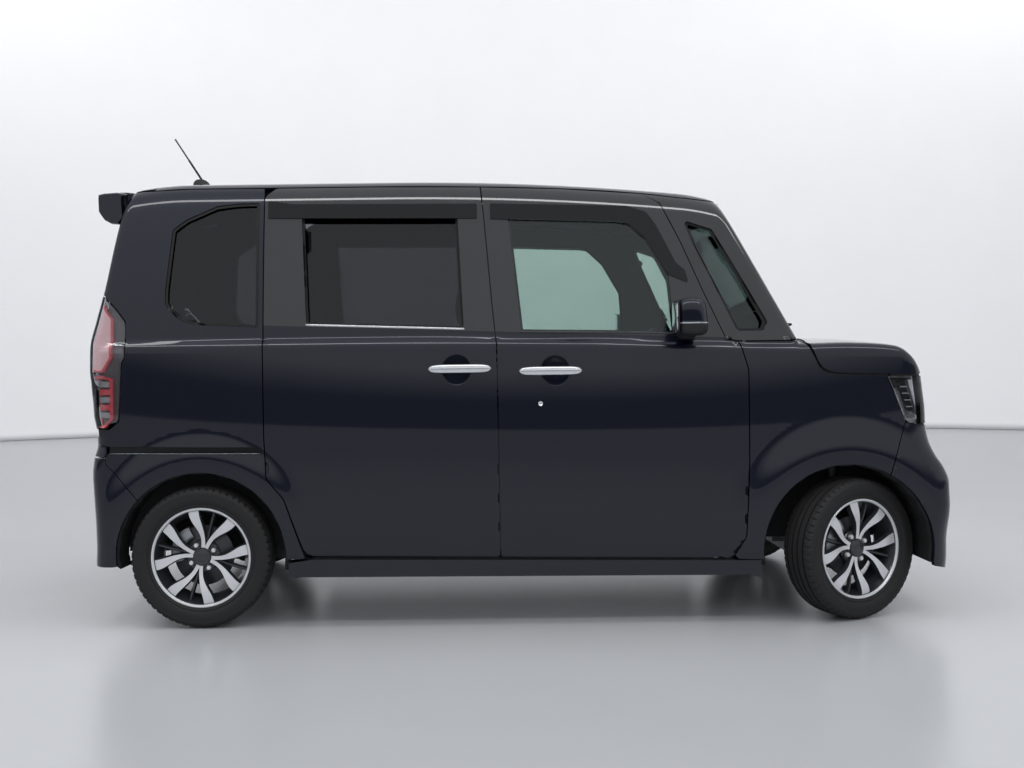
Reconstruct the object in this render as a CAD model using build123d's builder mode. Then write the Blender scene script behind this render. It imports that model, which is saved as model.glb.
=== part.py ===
"""A tall-wagon kei car, 3395 mm long, in millimetres.

+X is forward, +Y is left and +Z is up.  The origin is on the ground, under the middle of the car.
The front wheels stand steered to the left.
"""
import os
from math import cos, radians, sin, sqrt, tan

from build123d import *

os.makedirs("parts", exist_ok=True)

# ---------------------------------------------------------------- driving dimensions
LENGTH = 3395.0
WIDTH = 1475.0
ROOF_HEIGHT = 1790.0
WHEELBASE = 2520.0
FRONT_OVERHANG = 430.0
TRACK = 1305.0
BELT_SLOPE = 2.1          # degrees that the belt line falls towards the front
ROOF_CROWN_R = 3789.0     # across the car
ROOF_EDGE_R = 70.0        # where the roof turns into the side
DOOR_WALL = 50.0          # whole door, skin to trim
FRAME_WALL = 25.0         # pillar and sill flange behind the doors
ROOF_WALL = 30.0
SEAM = 5.0                # gap round everything that opens
FIT = 0.3                 # gap between fixed neighbours
GLASS = 5.0
GLASS_SET = 4.0           # how far glass lies behind the skin
TYRE_R = 275.0
TYRE_W = 155.0
RIM_R = 195.0
RIM_W = 129.0
ARCH_R = 331.0
ARCH_Z = 275.0
STEER_REST = 24.5         # degrees to the left
KINGPIN_Y = 590.0
LUG_CIRCLE_R = 50.0
LUG_R = 9.5

HALF_LENGTH = LENGTH / 2
HALF_WIDTH = WIDTH / 2
FRONT_AXLE_X = HALF_LENGTH - FRONT_OVERHANG
REAR_AXLE_X = FRONT_AXLE_X - WHEELBASE
WHEEL_Y = TRACK / 2
HALF_SEAM = SEAM / 2
FAR = 2200.0              # beyond every face of the car

RIGHT, LEFT = -1, 1


# ---------------------------------------------------------------- outlines and blocks
def rounded_outline(corners):
    """Draw a closed line through corners (x, y, radius) in the current BuildLine."""
    runs = []
    for i, (x, y, radius) in enumerate(corners):
        point = Vector(x, y)
        before = (Vector(*corners[i - 1][:2]) - point).normalized()
        after = (Vector(*corners[(i + 1) % len(corners)][:2]) - point).normalized()
        if radius == 0:
            runs.append((point, None, point))
            continue
        half_angle = radians(before.get_angle(after)) / 2
        reach = radius / tan(half_angle)
        bisector = (before + after).normalized()
        middle = point + bisector * (radius / sin(half_angle) - radius)
        runs.append((point + before * reach, middle, point + after * reach))
    for i, (start, middle, end) in enumerate(runs):
        last_end = runs[i - 1][2]
        if (start - last_end).length > 0.001:
            Line(last_end, start)
        if middle is not None:
            ThreePointArc(start, middle, end)


def grown(corners, amount):
    """The outline moved outwards by amount, with its rounded corners kept concentric."""
    if amount == 0:
        return corners
    points = [Vector(x, y) for x, y, _ in corners]
    area = sum(a.X * b.Y - b.X * a.Y for a, b in zip(points, points[1:] + points[:1]))
    turn = 1 if area > 0 else -1
    moved = []
    for i, (_, _, radius) in enumerate(corners):
        before = (points[i] - points[i - 1]).normalized()
        after = (points[(i + 1) % len(points)] - points[i]).normalized()
        outward_before = Vector(before.Y, -before.X) * turn
        outward_after = Vector(after.Y, -after.X) * turn
        sum_out = outward_before + outward_after
        corner = points[i] + sum_out * (amount / (1 + outward_before.dot(outward_after)))
        convex = (before.X * after.Y - before.Y * after.X) * turn > 0
        new_radius = radius + (amount if convex else -amount) if radius else 0
        moved.append((corner.X, corner.Y, max(new_radius, 0)))
    return moved


def side_block(corners, inboard=0.0, outboard=HALF_WIDTH + 200, grow=0.0):
    """A prism of a side-view outline (x, z, radius) on the right-hand side of the car."""
    with BuildPart() as block:
        with BuildSketch(Plane.XZ.offset(inboard)):
            with BuildLine():
                rounded_outline(grown(corners, grow))
            make_face()
        extrude(amount=outboard - inboard)
    return block.part


def across_block(corners, inset=0.0):
    """A prism of a side-view outline right across the car."""
    with BuildPart() as block:
        with BuildSketch(Plane.XZ):
            with BuildLine():
                rounded_outline(corners)
            make_face()
            if inset:
                offset(amount=-inset, kind=Kind.INTERSECTION)
        extrude(amount=HALF_WIDTH + 200, both=True)
    return block.part


def end_block(corners, x_from, x_to, grow=0.0):
    """A prism of a front-view outline (y, z, radius) between two x."""
    with BuildPart() as block:
        with BuildSketch(Plane.YZ.offset(x_from)):
            with BuildLine():
                rounded_outline(grown(corners, grow))
            make_face()
        extrude(amount=x_to - x_from)
    return block.part


def box_between(low, high):
    """A block from its low corner to its high corner."""
    with BuildPart() as block:
        with Locations(tuple((a + b) / 2 for a, b in zip(low, high))):
            Box(*[b - a for a, b in zip(low, high)])
    return block.part


def finish(part, name):
    part.label = name
    export_step(part, f"parts/{name}.step")


def both_sides(right_part):
    """The right-hand part with its mirror image on the left."""
    with BuildPart() as pair:
        add(right_part)
        mirror(about=Plane.XZ)
    return pair.part


# ---------------------------------------------------------------- master forms of the body
# Lower body: a cross-section that runs down towards the front, cut to a plan and to a side profile.
FORM_X = HALF_LENGTH + 50
WIDEST_Z = 650.0
SILL = (706.0, 235.0)      # y, z of the barrel side's lower end at mid-length
SHOULDER = (724.0, 1085.0)
UNDERSIDE = (690.0, 150.0)
BONNET_CREST = 1147.0      # the crown at mid-length, hidden under the cabin


def barrel_y(z, end):
    """Half-width at height z of the barrel arc between the widest point and end (y, z)."""
    return HALF_WIDTH - (HALF_WIDTH - end[0]) * ((z - WIDEST_Z) / (end[1] - WIDEST_Z)) ** 2


# x, z, corner radius: nose, bonnet, then the tail, at the middle of the car
BODY_PROFILE = [
    (1600, 181, 0), (HALF_LENGTH - 14, 181, 15), (HALF_LENGTH - 10, 235, 10), (HALF_LENGTH - 14, 262, 30),
    (HALF_LENGTH, 440, 90), (HALF_LENGTH - 2, 540, 50), (HALF_LENGTH - 72, 668, 60),
    (HALF_LENGTH - 77, 965, 20), (HALF_LENGTH - 95, 1032, 45), (1460, 1082, 200), (1200, 1106, 0),
    (1100, 1400, 0), (-1500, 1800, 0),
    (-1515, 1790, 0), (-1572, 1580, 150), (-1634, 1309, 300), (-HALF_LENGTH + 8, 1090, 120),
    (-HALF_LENGTH + 10, 880, 80), (-HALF_LENGTH + 28, 745, 30), (-HALF_LENGTH + 1, 620, 60),
    (-HALF_LENGTH + 14, 400, 100), (-HALF_LENGTH + 10, 240, 12), (-1600, 228, 0), (-1540, 181, 0),
]
PLAN_FRONT = (HALF_LENGTH - 18, 712.0)
PLAN_REAR = (-HALF_LENGTH + 14, 716.0)
PLAN_FRONT_R = 95.0
PLAN_REAR_R = 85.0


def lower_form(inset):
    """The body below the glass, inset from its skin."""
    rise = FORM_X * tan(radians(BELT_SLOPE))
    with BuildPart() as form:
        with BuildSketch(Plane(origin=(-FORM_X, 0, rise), x_dir=(0, 1, 0), z_dir=(1, 0, 0))):
            with BuildLine():
                Line((0, UNDERSIDE[1]), UNDERSIDE)
                Line(UNDERSIDE, SILL)
                low_z = (SILL[1] + WIDEST_Z) / 2
                ThreePointArc(SILL, (barrel_y(low_z, SILL), low_z), (HALF_WIDTH, WIDEST_Z))
                high_z = (SHOULDER[1] + WIDEST_Z) / 2
                ThreePointArc((HALF_WIDTH, WIDEST_Z), (barrel_y(high_z, SHOULDER), high_z), SHOULDER)
                ThreePointArc(SHOULDER, (716, 1107), (694, 1118))
                Polyline((694, 1118), (420, 1138), (0, BONNET_CREST), (0, UNDERSIDE[1]))
            make_face()
            mirror(about=Plane.YZ)
            if inset:
                offset(amount=-inset)
        slope = radians(BELT_SLOPE)
        extrude(amount=2 * FORM_X / cos(slope), dir=(cos(slope), 0, -sin(slope)))
        with BuildSketch(Plane.XY) as plan:
            with BuildLine():
                for side in (RIGHT, LEFT):
                    ThreePointArc(
                        (PLAN_REAR[0], side * PLAN_REAR[1]), (0, side * (HALF_WIDTH + 1)),
                        (PLAN_FRONT[0], side * PLAN_FRONT[1]),
                    )
                for x, y, end in ((*PLAN_FRONT, HALF_LENGTH), (*PLAN_REAR, -HALF_LENGTH)):
                    ThreePointArc((x, -y), (end, 0), (x, y))
            make_face()
            fillet(plan.vertices().group_by(Axis.X)[-1], PLAN_FRONT_R)
            fillet(plan.vertices().group_by(Axis.X)[0], PLAN_REAR_R)
            if inset:
                offset(amount=-inset)
        extrude(amount=FAR, mode=Mode.INTERSECT)
        add(across_block(BODY_PROFILE, inset), mode=Mode.INTERSECT)
    return form.part


# Cabin: leaning sides cut by a crowned roof that follows a profile from tail to windscreen.
GLASS_LEAN = ((709.3, 1000.0), (659.9, 1450.0), (569.7, 1900.0))   # y, z down a side
ROOF_FLAT = (-1300.0, -520.0)      # x of the level stretch of the roof
ROOF_FRONT = ((11500.0, 5.8), (800.0, 9.0))   # radius, degrees of the arcs down to the windscreen
ROOF_REAR = (1350.0, 12.0)
ROOF_RUN_OUT = 200.0
SCREEN_BASE = (1090.0, 1110.0)     # x, z of the windscreen's corner beside the pillar
SCREEN_TOP = (782.0, 1668.0)
SCREEN_BASE_Y = 640.0
SCREEN_BOW = 75.0                  # how far the middle stands forward of the corners
CABIN_FOOT_Z = 800.0       # well below the belt, so that the two forms overlap when inset
REAR_LINE = [(-1515, 1790), (-1572, 1580), (-1634, 1309), (-1690, 1080), (-1686, 1000), (-1675, CABIN_FOOT_Z)]


def screen_block(inset):
    """Everything behind the bowed windscreen, inset from it."""
    lean_x = SCREEN_TOP[0] - SCREEN_BASE[0]
    lean_z = SCREEN_TOP[1] - SCREEN_BASE[1]
    down = 300.0
    foot_x = SCREEN_BASE[0] - lean_x / lean_z * down - inset * sqrt(lean_x**2 + lean_z**2) / lean_z
    with BuildPart() as block:
        with BuildSketch(Plane.XY.offset(SCREEN_BASE[1] - down)):
            with BuildLine():
                edge = SCREEN_BASE_Y * 1.2
                edge_x = foot_x - SCREEN_BOW * 0.44
                ThreePointArc((edge_x, -edge), (foot_x + SCREEN_BOW, 0), (edge_x, edge))
                Polyline((edge_x, edge), (-2 * FAR, edge), (-2 * FAR, -edge), (edge_x, -edge))
            make_face()
        extrude(amount=FAR, dir=Vector(lean_x, 0, lean_z).normalized())
    return block.part


def sky_block(roof_inset):
    """Everything above the crowned roof, swept along its profile."""
    half_span = 800.0
    fall = ROOF_CROWN_R - sqrt(ROOF_CROWN_R**2 - half_span**2)
    low, high = -roof_inset - fall, 400.0
    with BuildPart() as sky:
        with BuildLine(Plane.XZ):
            middle = Line((ROOF_FLAT[0], ROOF_HEIGHT), (ROOF_FLAT[1], ROOF_HEIGHT))
            front = JernArc(middle @ 1, middle % 1, ROOF_FRONT[0][0], -ROOF_FRONT[0][1])
            header = JernArc(front @ 1, front % 1, ROOF_FRONT[1][0], -ROOF_FRONT[1][1])
            Line(header @ 1, header @ 1 + (header % 1) * ROOF_RUN_OUT)
            tail = JernArc(middle @ 0, (-1, 0), ROOF_REAR[0], ROOF_REAR[1])
            tail_end = Line(tail @ 1, tail @ 1 + (tail % 1) * ROOF_RUN_OUT)
        ahead = ((tail_end @ 0) - (tail_end @ 1)).normalized()
        with BuildSketch(Plane(origin=tail_end @ 1, x_dir=(0, 1, 0), z_dir=ahead)):
            with BuildLine():
                ThreePointArc((-half_span, low), (0, -roof_inset), (half_span, low))
                Polyline((half_span, low), (half_span, high), (-half_span, high), (-half_span, low))
            make_face()
        sweep()
    return sky.part


def cabin_form(inset, roof_inset, screen_inset):
    """The glasshouse, inset from its skin."""
    foot, waist, top = GLASS_LEAN
    with BuildPart() as form:
        with BuildSketch(Plane.YZ.offset(-FAR)):
            with BuildLine():
                ThreePointArc(foot, waist, top)
                Line(top, (-top[0], top[1]))
                ThreePointArc((-top[0], top[1]), (-waist[0], waist[1]), (-foot[0], foot[1]))
                Polyline((-foot[0], foot[1]), (-foot[0], CABIN_FOOT_Z), (foot[0], CABIN_FOOT_Z), foot)
            make_face()
            if inset:
                offset(amount=-inset)
        extrude(amount=2 * FAR)
        add(sky_block(roof_inset), mode=Mode.SUBTRACT)
        roof_edges = form.edges().filter_by(
            lambda e: e.center().Z > 1600 and 450 < abs(e.center().Y) < 700
            and e.length > 100 and abs((e @ 0).X - (e @ 1).X) > 100
        ).filter_by(lambda e: abs(e.center().X) < 1900)
        if not inset:
            fillet([e for e in roof_edges if max((e @ 0).Z, (e @ 1).Z) < ROOF_HEIGHT], ROOF_EDGE_R)
        add(screen_block(screen_inset), mode=Mode.INTERSECT)
        rear = [(x, z, 0) for x, z in REAR_LINE]
        add(
            across_block(rear + [(FAR, CABIN_FOOT_Z, 0), (FAR, 1900, 0), (-1485, 1900, 0)], inset),
            mode=Mode.INTERSECT,
        )
    return form.part


with BuildPart() as skin:
    add(lower_form(0))
    add(cabin_form(0, 0, 0))
with BuildPart() as door_back:
    add(lower_form(DOOR_WALL))
    add(cabin_form(DOOR_WALL, ROOF_WALL, DOOR_WALL))
with BuildPart() as frame_front:
    add(lower_form(DOOR_WALL + FIT))
    add(cabin_form(DOOR_WALL + FIT, ROOF_WALL + FIT, DOOR_WALL + FIT))
with BuildPart() as cabin_space:
    add(lower_form(DOOR_WALL + FRAME_WALL))
    add(cabin_form(DOOR_WALL + FRAME_WALL, ROOF_WALL + FRAME_WALL, DOOR_WALL))
with BuildPart() as wall:
    add(skin.part)
    add(door_back.part, mode=Mode.SUBTRACT)
with BuildPart() as frame_layer:
    add(frame_front.part)
    add(cabin_space.part, mode=Mode.SUBTRACT)
with BuildPart() as glass_front:
    add(lower_form(GLASS_SET))
    add(cabin_form(GLASS_SET, GLASS_SET, GLASS_SET))
with BuildPart() as glass_back:
    add(lower_form(GLASS_SET + GLASS))
    add(cabin_form(GLASS_SET + GLASS, GLASS_SET + GLASS, GLASS_SET + GLASS))
with BuildPart() as glass_layer:
    add(glass_front.part)
    add(glass_back.part, mode=Mode.SUBTRACT)

# ---------------------------------------------------------------- seams in side view: x, z, corner radius
B_SEAM = [(-86, 260, 15), (-92, 1088, 0), (-107, 1249, 0), (-134, 1600, 0), (-145, 1722, 0)]
FRONT_DOOR = [
    *B_SEAM, (180, 1711, 0), (500, 1687, 0), (566, 1645, 40), (642, 1483, 0), (719, 1295, 0),
    (806, 1100, 0), (854, 1090, 20), (886, 980, 80), (884, 620, 0), (868, 330, 60), (815, 244, 50),
]
SLIDE_DOOR = [
    *B_SEAM, (-560, 1728, 0), (-960, 1728, 0), (-1003, 1690, 35), (-1003, 1160, 0), (-1000, 740, 0),
    (-992, 580, 40), (-925, 500, 60), (-845, 273, 60),
]
ROOF_SPLIT = [
    (-1800, 1640, 0), (-1565, 1701, 0), (-1446, 1722, 0), (-1300, 1729, 0), (-560, 1728, 0), (-145, 1722, 0),
    (180, 1711, 0), (500, 1687, 0), (648, 1668, 0), (760, 1654, 0), (1300, 1654, 0),
]
PILLAR_FOOT_Z = 1092.0
LAMP_TOP_Z = 943.0
LAMP_BACK = [(1428, LAMP_TOP_Z), (1498, 772)]
LAMP_FOOT_Z = 757.0
BUMPER_SEAM = [(1498, 772, 0), (1437, 586, 0)]
LOWER_EDGE = [(-1000, 240, 0), (-800, 266, 0), (870, 241, 0), (1000, 239, 0)]
REAR_BUMPER = [
    (-1800, 671, 0), (-1624, 671, 0), (-1618, 638, 0), (-1507, 518, 0), (-1400, 300, 0), (-1400, 100, 0),
    (-1800, 100, 0),
]
TAIL_LAMP = [
    (-1800, 1301, 0), (-1628, 1301, 0), (-1583, 1253, 0), (-1540, 1195, 15), (-1539, 1056, 0),
    (-1552, 1037, 0), (-1565, 809, 20), (-1636, 752, 0), (-1800, 752, 0),
]
QUARTER_WINDOW = [
    (-1362, 1560, 20), (-1310, 1599, 0), (-1190, 1652, 60), (-1110, 1661, 0), (-1024, 1663, 8),
    (-1024, 1170, 8), (-1262, 1183, 0), (-1330, 1200, 60), (-1386, 1262, 40), (-1386, 1320, 0),
]
SLIDE_WINDOW = [(-855, 1625, 25), (-238, 1612, 25), (-218, 1155, 15), (-834, 1178, 15)]
FRONT_WINDOW = [
    (-40, 1605, 25), (400, 1590, 60), (500, 1500, 60), (588, 1352, 20), (606, 1128, 12), (6, 1140, 12),
]
PILLAR_WINDOW = [
    (655, 1572, 10), (765, 1535, 20), (967, 1165, 15), (950, 1132, 10), (850, 1132, 20), (690, 1478, 0),
]
SCREEN_OPENING = [(-652, 1112, 20), (652, 1112, 20), (566, 1648, 30), (-566, 1648, 30)]
TAILGATE_WINDOW = [(-505, 1600, 50), (505, 1600, 50), (505, 1195, 50), (-505, 1195, 50)]
TAILGATE_Y = 560.0
TAILGATE_HINGE_X = -1446.0
BUMPER_TOP_Z = 671.0
DOOR_RAIL = [(-1615, 683, 0), (-1615, 710, 0), (-1000, 702, 0), (-1000, 676, 0)]
RAIL_FLOOR_Y = 705.0      # the sliding door's roller rail lies this far from the middle
FRAME_OVERLAP = 28.0      # how far the pillar flange reaches behind a door
COWL_Y = 640.0


def wheel_arch(axle_x, radius, inboard):
    """The round space of a pair of wheel arches, from inboard out past the sides."""
    with BuildPart() as arches:
        for side in (RIGHT, LEFT):
            with BuildSketch(Plane.XZ.offset(-side * inboard)):
                with Locations((axle_x, ARCH_Z)):
                    Circle(radius)
                with Locations((axle_x, ARCH_Z - FAR / 2)):
                    Rectangle(2 * radius, FAR)
            extrude(amount=-side * (HALF_WIDTH + 100 - inboard))
    return arches.part


FRONT_WELL_Y = 395.0
REAR_WELL_Y = 545.0
WELL_WALL = 8.0
door_openings = both_sides(
    side_block(FRONT_DOOR, inboard=540, grow=HALF_SEAM) + side_block(SLIDE_DOOR, inboard=540, grow=HALF_SEAM)
)
frame_openings = both_sides(
    side_block(FRONT_DOOR, inboard=400, grow=-FRAME_OVERLAP)
    + side_block(SLIDE_DOOR, inboard=400, grow=-FRAME_OVERLAP)
)
arches = wheel_arch(FRONT_AXLE_X, ARCH_R, FRONT_WELL_Y) + wheel_arch(REAR_AXLE_X, ARCH_R, REAR_WELL_Y)
roof_region = across_block(ROOF_SPLIT + [(1300, 1900, 0), (-1800, 1900, 0)])

# ---------------------------------------------------------------- body shell
with BuildPart() as roof_panel:
    add(wall.part)
    add(roof_region, mode=Mode.INTERSECT)
    add(box_between((TAILGATE_HINGE_X, -HALF_WIDTH, 1000), (FAR, HALF_WIDTH, FAR)), mode=Mode.INTERSECT)
    add(door_openings, mode=Mode.SUBTRACT)
finish(roof_panel.part, "roof_panel")

with BuildPart() as skin_side:
    add(wall.part)
    add(door_openings, mode=Mode.SUBTRACT)
with BuildPart() as frame_side:
    add(frame_layer.part)
    add(frame_openings, mode=Mode.SUBTRACT)
SIDE_REGION = [
    (-1800, 671 + FIT, 0), (-1624 + FIT, 671 + FIT, 0), (-1618 + FIT, 638, 0), (-1507 + FIT, 518, 0),
    (-1400, 300, 0), *LOWER_EDGE[:3], (870, 300, 0), (870, PILLAR_FOOT_Z, 0), (1300, PILLAR_FOOT_Z, 0),
    (1300, 1654 - FIT, 0), (760, 1654 - FIT, 0), (648, 1668 - FIT, 0), (500, 1687 - FIT, 0),
    (180, 1711 - FIT, 0), (-145, 1722 - FIT, 0), (-560, 1728 - FIT, 0), (-1300, 1729 - FIT, 0),
    (TAILGATE_HINGE_X - FIT, 1722 - FIT, 0), (TAILGATE_HINGE_X - FIT, 1900, 0), (-1800, 1900, 0),
]
with BuildPart() as outer_side:
    add(skin_side.part)
    add(side_block(SIDE_REGION, inboard=TAILGATE_Y), mode=Mode.INTERSECT)
    add(side_block(TAIL_LAMP, inboard=TAILGATE_Y - 5, grow=FIT), mode=Mode.SUBTRACT)
with BuildPart() as side_panel:
    add(frame_side.part)
    add(side_block(SIDE_REGION, inboard=TAILGATE_Y - SEAM - FRAME_OVERLAP), mode=Mode.INTERSECT)
    add(outer_side.part)
    for window in (QUARTER_WINDOW, PILLAR_WINDOW):
        add(side_block(window, inboard=400), mode=Mode.SUBTRACT)
    add(end_block(SCREEN_OPENING, 640, 1300), mode=Mode.SUBTRACT)
    add(arches, mode=Mode.SUBTRACT)
    add(side_block(DOOR_RAIL, inboard=RAIL_FLOOR_Y), mode=Mode.SUBTRACT)
    add(box_between((-1700, -628, 100), (890, -400, 299)), mode=Mode.SUBTRACT)
finish(side_panel.part, "side_panel_right")
finish(side_panel.part.mirror(Plane.XZ), "side_panel_left")

with BuildPart() as front_fenders:
    add(skin_side.part)
    add(side_block(
        [(870, PILLAR_FOOT_Z - FIT, 0), (1116, PILLAR_FOOT_Z - FIT, 0), (1149 - HALF_SEAM, 1022 - HALF_SEAM, 0),
         (1180, 974 - HALF_SEAM, 25), (1220, 961 - HALF_SEAM, 0), (1422, 953 - HALF_SEAM, 0),
         (LAMP_BACK[0][0] - FIT, LAMP_TOP_Z, 0), (LAMP_BACK[1][0] - FIT, LAMP_BACK[1][1], 0),
         (BUMPER_SEAM[1][0] - FIT, BUMPER_SEAM[1][1], 0), (1400, 300, 0), (1000, 239, 0), (870 + FIT, 241, 0)],
        inboard=COWL_Y,
    ), mode=Mode.INTERSECT)
    add(arches, mode=Mode.SUBTRACT)
    mirror(about=Plane.XZ)
finish(front_fenders.part, "front_fenders")

BUMPER_INTAKE = [(-470, 440, 30), (470, 440, 30), (430, 250, 30), (-430, 250, 30)]
PLATE_HOLE_SPACING = 210.0
PLATE_HOLE_R = 3.0
FRONT_PLATE_Z = 545.0
REAR_PLATE_Z = 900.0
TOW_EYE = (-330.0, 560.0)     # y, z on the front bumper
TOW_EYE_R = 9.0
TOW_FACE_X = 1690.0
BUMPER_CORE = [(1300, 215, 0), (1640, 215, 0), (1640, 600, 0), (1572, 690, 0), (1572, 1000, 0), (1300, 1000, 0)]
BUMPER_CORE_PLAN = [(1300, -680), (1560, -672), (1640, -600), (1640, 600), (1560, 672), (1300, 680)]
with BuildPart() as bumper_core:
    with BuildSketch(Plane.XY):
        Polygon(*BUMPER_CORE_PLAN, align=None)
    extrude(amount=FAR)
    add(across_block(BUMPER_CORE), mode=Mode.INTERSECT)
with BuildPart() as front_bumper:
    add(skin.part)
    add(bumper_core.part, mode=Mode.SUBTRACT)
    add(across_block(
        [(LAMP_BACK[1][0], LAMP_FOOT_Z + 15 - FIT, 0), (1570, LAMP_FOOT_Z - FIT, 0), (1800, LAMP_FOOT_Z - FIT, 0),
         (1800, 150, 0), (1500, 150, 0), (1437, 300, 0), (1437, 586, 0)],
    ), mode=Mode.INTERSECT)
    add(arches, mode=Mode.SUBTRACT)
    add(end_block(BUMPER_INTAKE, 1500, 1800), mode=Mode.SUBTRACT)
    with BuildSketch(Plane.YZ.offset(1640)):
        with Locations(TOW_EYE):
            Circle(TOW_EYE_R + 12)
    extrude(amount=TOW_FACE_X - 1640)
    with BuildSketch(Plane.YZ.offset(1550)):
        with Locations(*[(y, FRONT_PLATE_Z) for y in (-PLATE_HOLE_SPACING / 2, PLATE_HOLE_SPACING / 2)]):
            Circle(PLATE_HOLE_R)
        with Locations(TOW_EYE):
            Circle(TOW_EYE_R)
    extrude(amount=300, mode=Mode.SUBTRACT)
finish(front_bumper.part, "front_bumper")

LAMP_INNER_Y = 430.0
LAMP_REGION = [(*LAMP_BACK[0], 0), (1800, LAMP_TOP_Z, 0), (1800, LAMP_FOOT_Z, 0), (1570, LAMP_FOOT_Z, 0),
               (*LAMP_BACK[1], 0)]
with BuildPart() as headlamps:
    add(wall.part)
    add(side_block(LAMP_REGION, inboard=LAMP_INNER_Y), mode=Mode.INTERSECT)
    mirror(about=Plane.XZ)
finish(headlamps.part, "headlamps")

BUFFER_TOP_Z = 951.4      # rubber buffers that the closed bonnet rests just above
GRILLE_BARS = 4
GRILLE_BAR = 22.0
with BuildPart() as front_grille:
    add(wall.part)
    grille_y = LAMP_INNER_Y - FIT
    add(box_between((1500, -grille_y, LAMP_FOOT_Z), (1800, grille_y, LAMP_TOP_Z)), mode=Mode.INTERSECT)
    gap = (LAMP_TOP_Z - LAMP_FOOT_Z - GRILLE_BARS * GRILLE_BAR) / (GRILLE_BARS - 1)
    with BuildSketch(Plane.YZ.offset(1590)):
        for bar in range(GRILLE_BARS - 1):
            low = LAMP_FOOT_Z + GRILLE_BAR + bar * (GRILLE_BAR + gap)
            with Locations((0, low + gap / 2)):
                Rectangle(2 * grille_y - 2 * GRILLE_BAR, gap)
    extrude(amount=200, mode=Mode.SUBTRACT)
    for side in (RIGHT, LEFT):
        low, high = sorted((side * 300, side * 340))
        add(box_between((1605, low, LAMP_TOP_Z - 10), (1625, high, BUFFER_TOP_Z)))
finish(front_grille.part, "front_grille")

BONNET_REAR = ((1119.0, 700.0), (1214.0, 0.0))   # x, y of the rear edge beside the fender and in the middle
with BuildPart() as bonnet:
    add(wall.part)
    add(across_block(
        [(1116 + HALF_SEAM, PILLAR_FOOT_Z + 100, 0), (1116 + HALF_SEAM, PILLAR_FOOT_Z, 0),
         (1149 + HALF_SEAM, 1022 + HALF_SEAM, 0), (1180, 974 + HALF_SEAM, 25), (1220, 961 + HALF_SEAM, 0),
         (1422, 953 + HALF_SEAM, 0), (1800, 946 + HALF_SEAM, 0), (1800, 1300, 0)],
    ), mode=Mode.INTERSECT)
    with BuildSketch(Plane.XY.offset(900)):
        with BuildLine():
            (edge_x, edge_y), (middle_x, _) = BONNET_REAR
            ThreePointArc((edge_x, -edge_y), (middle_x, 0), (edge_x, edge_y))
            Polyline((edge_x, edge_y), (edge_x, 900), (2000, 900), (2000, -900), (edge_x, -900), (edge_x, -edge_y))
        make_face()
    extrude(amount=400, mode=Mode.INTERSECT)
finish(bonnet.part, "bonnet")

COWL_DEPTH = 30.0
with BuildPart() as cowl:
    with BuildSketch(Plane.XY.offset(PILLAR_FOOT_Z - COWL_DEPTH)):
        with BuildLine():
            half = COWL_Y - FIT
            rear_x = SCREEN_BASE[0] + 13
            front_arc_x = BONNET_REAR[0][0] - SEAM + 15
            ThreePointArc((rear_x, -half), (rear_x + SCREEN_BOW, 0), (rear_x, half))
            Line((rear_x, half), (front_arc_x, half))
            ThreePointArc((front_arc_x, half), (BONNET_REAR[1][0] - SEAM, 0), (front_arc_x, -half))
            Line((front_arc_x, -half), (rear_x, -half))
        make_face()
    extrude(amount=200)
    add(skin.part, mode=Mode.INTERSECT)
finish(cowl.part, "cowl")

# ---------------------------------------------------------------- rear
with BuildPart() as tailgate:
    add(wall.part)
    half = TAILGATE_Y - SEAM
    add(box_between(
        (-1800, -half, BUMPER_TOP_Z + SEAM), (TAILGATE_HINGE_X - SEAM, half, 1900)), mode=Mode.INTERSECT)
    add(end_block(TAILGATE_WINDOW, -1800, -1500), mode=Mode.SUBTRACT)
    with BuildSketch(Plane.YZ.offset(-1550)):
        with Locations(*[(y, REAR_PLATE_Z) for y in (-PLATE_HOLE_SPACING / 2, PLATE_HOLE_SPACING / 2)]):
            Circle(PLATE_HOLE_R)
    extrude(amount=-300, mode=Mode.SUBTRACT)
finish(tailgate.part, "tailgate")

with BuildPart() as tailgate_glass:
    add(glass_layer.part)
    add(end_block(TAILGATE_WINDOW, -1800, -1500, grow=-FIT), mode=Mode.INTERSECT)
finish(tailgate_glass.part, "tailgate_glass")

with BuildPart() as tail_lamps:
    add(wall.part)
    add(side_block(TAIL_LAMP, inboard=TAILGATE_Y), mode=Mode.INTERSECT)
    mirror(about=Plane.XZ)
finish(tail_lamps.part, "tail_lamps")

with BuildPart() as rear_bumper:
    add(wall.part)
    add(across_block(REAR_BUMPER), mode=Mode.INTERSECT)
    add(arches, mode=Mode.SUBTRACT)
finish(rear_bumper.part, "rear_bumper")

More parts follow.
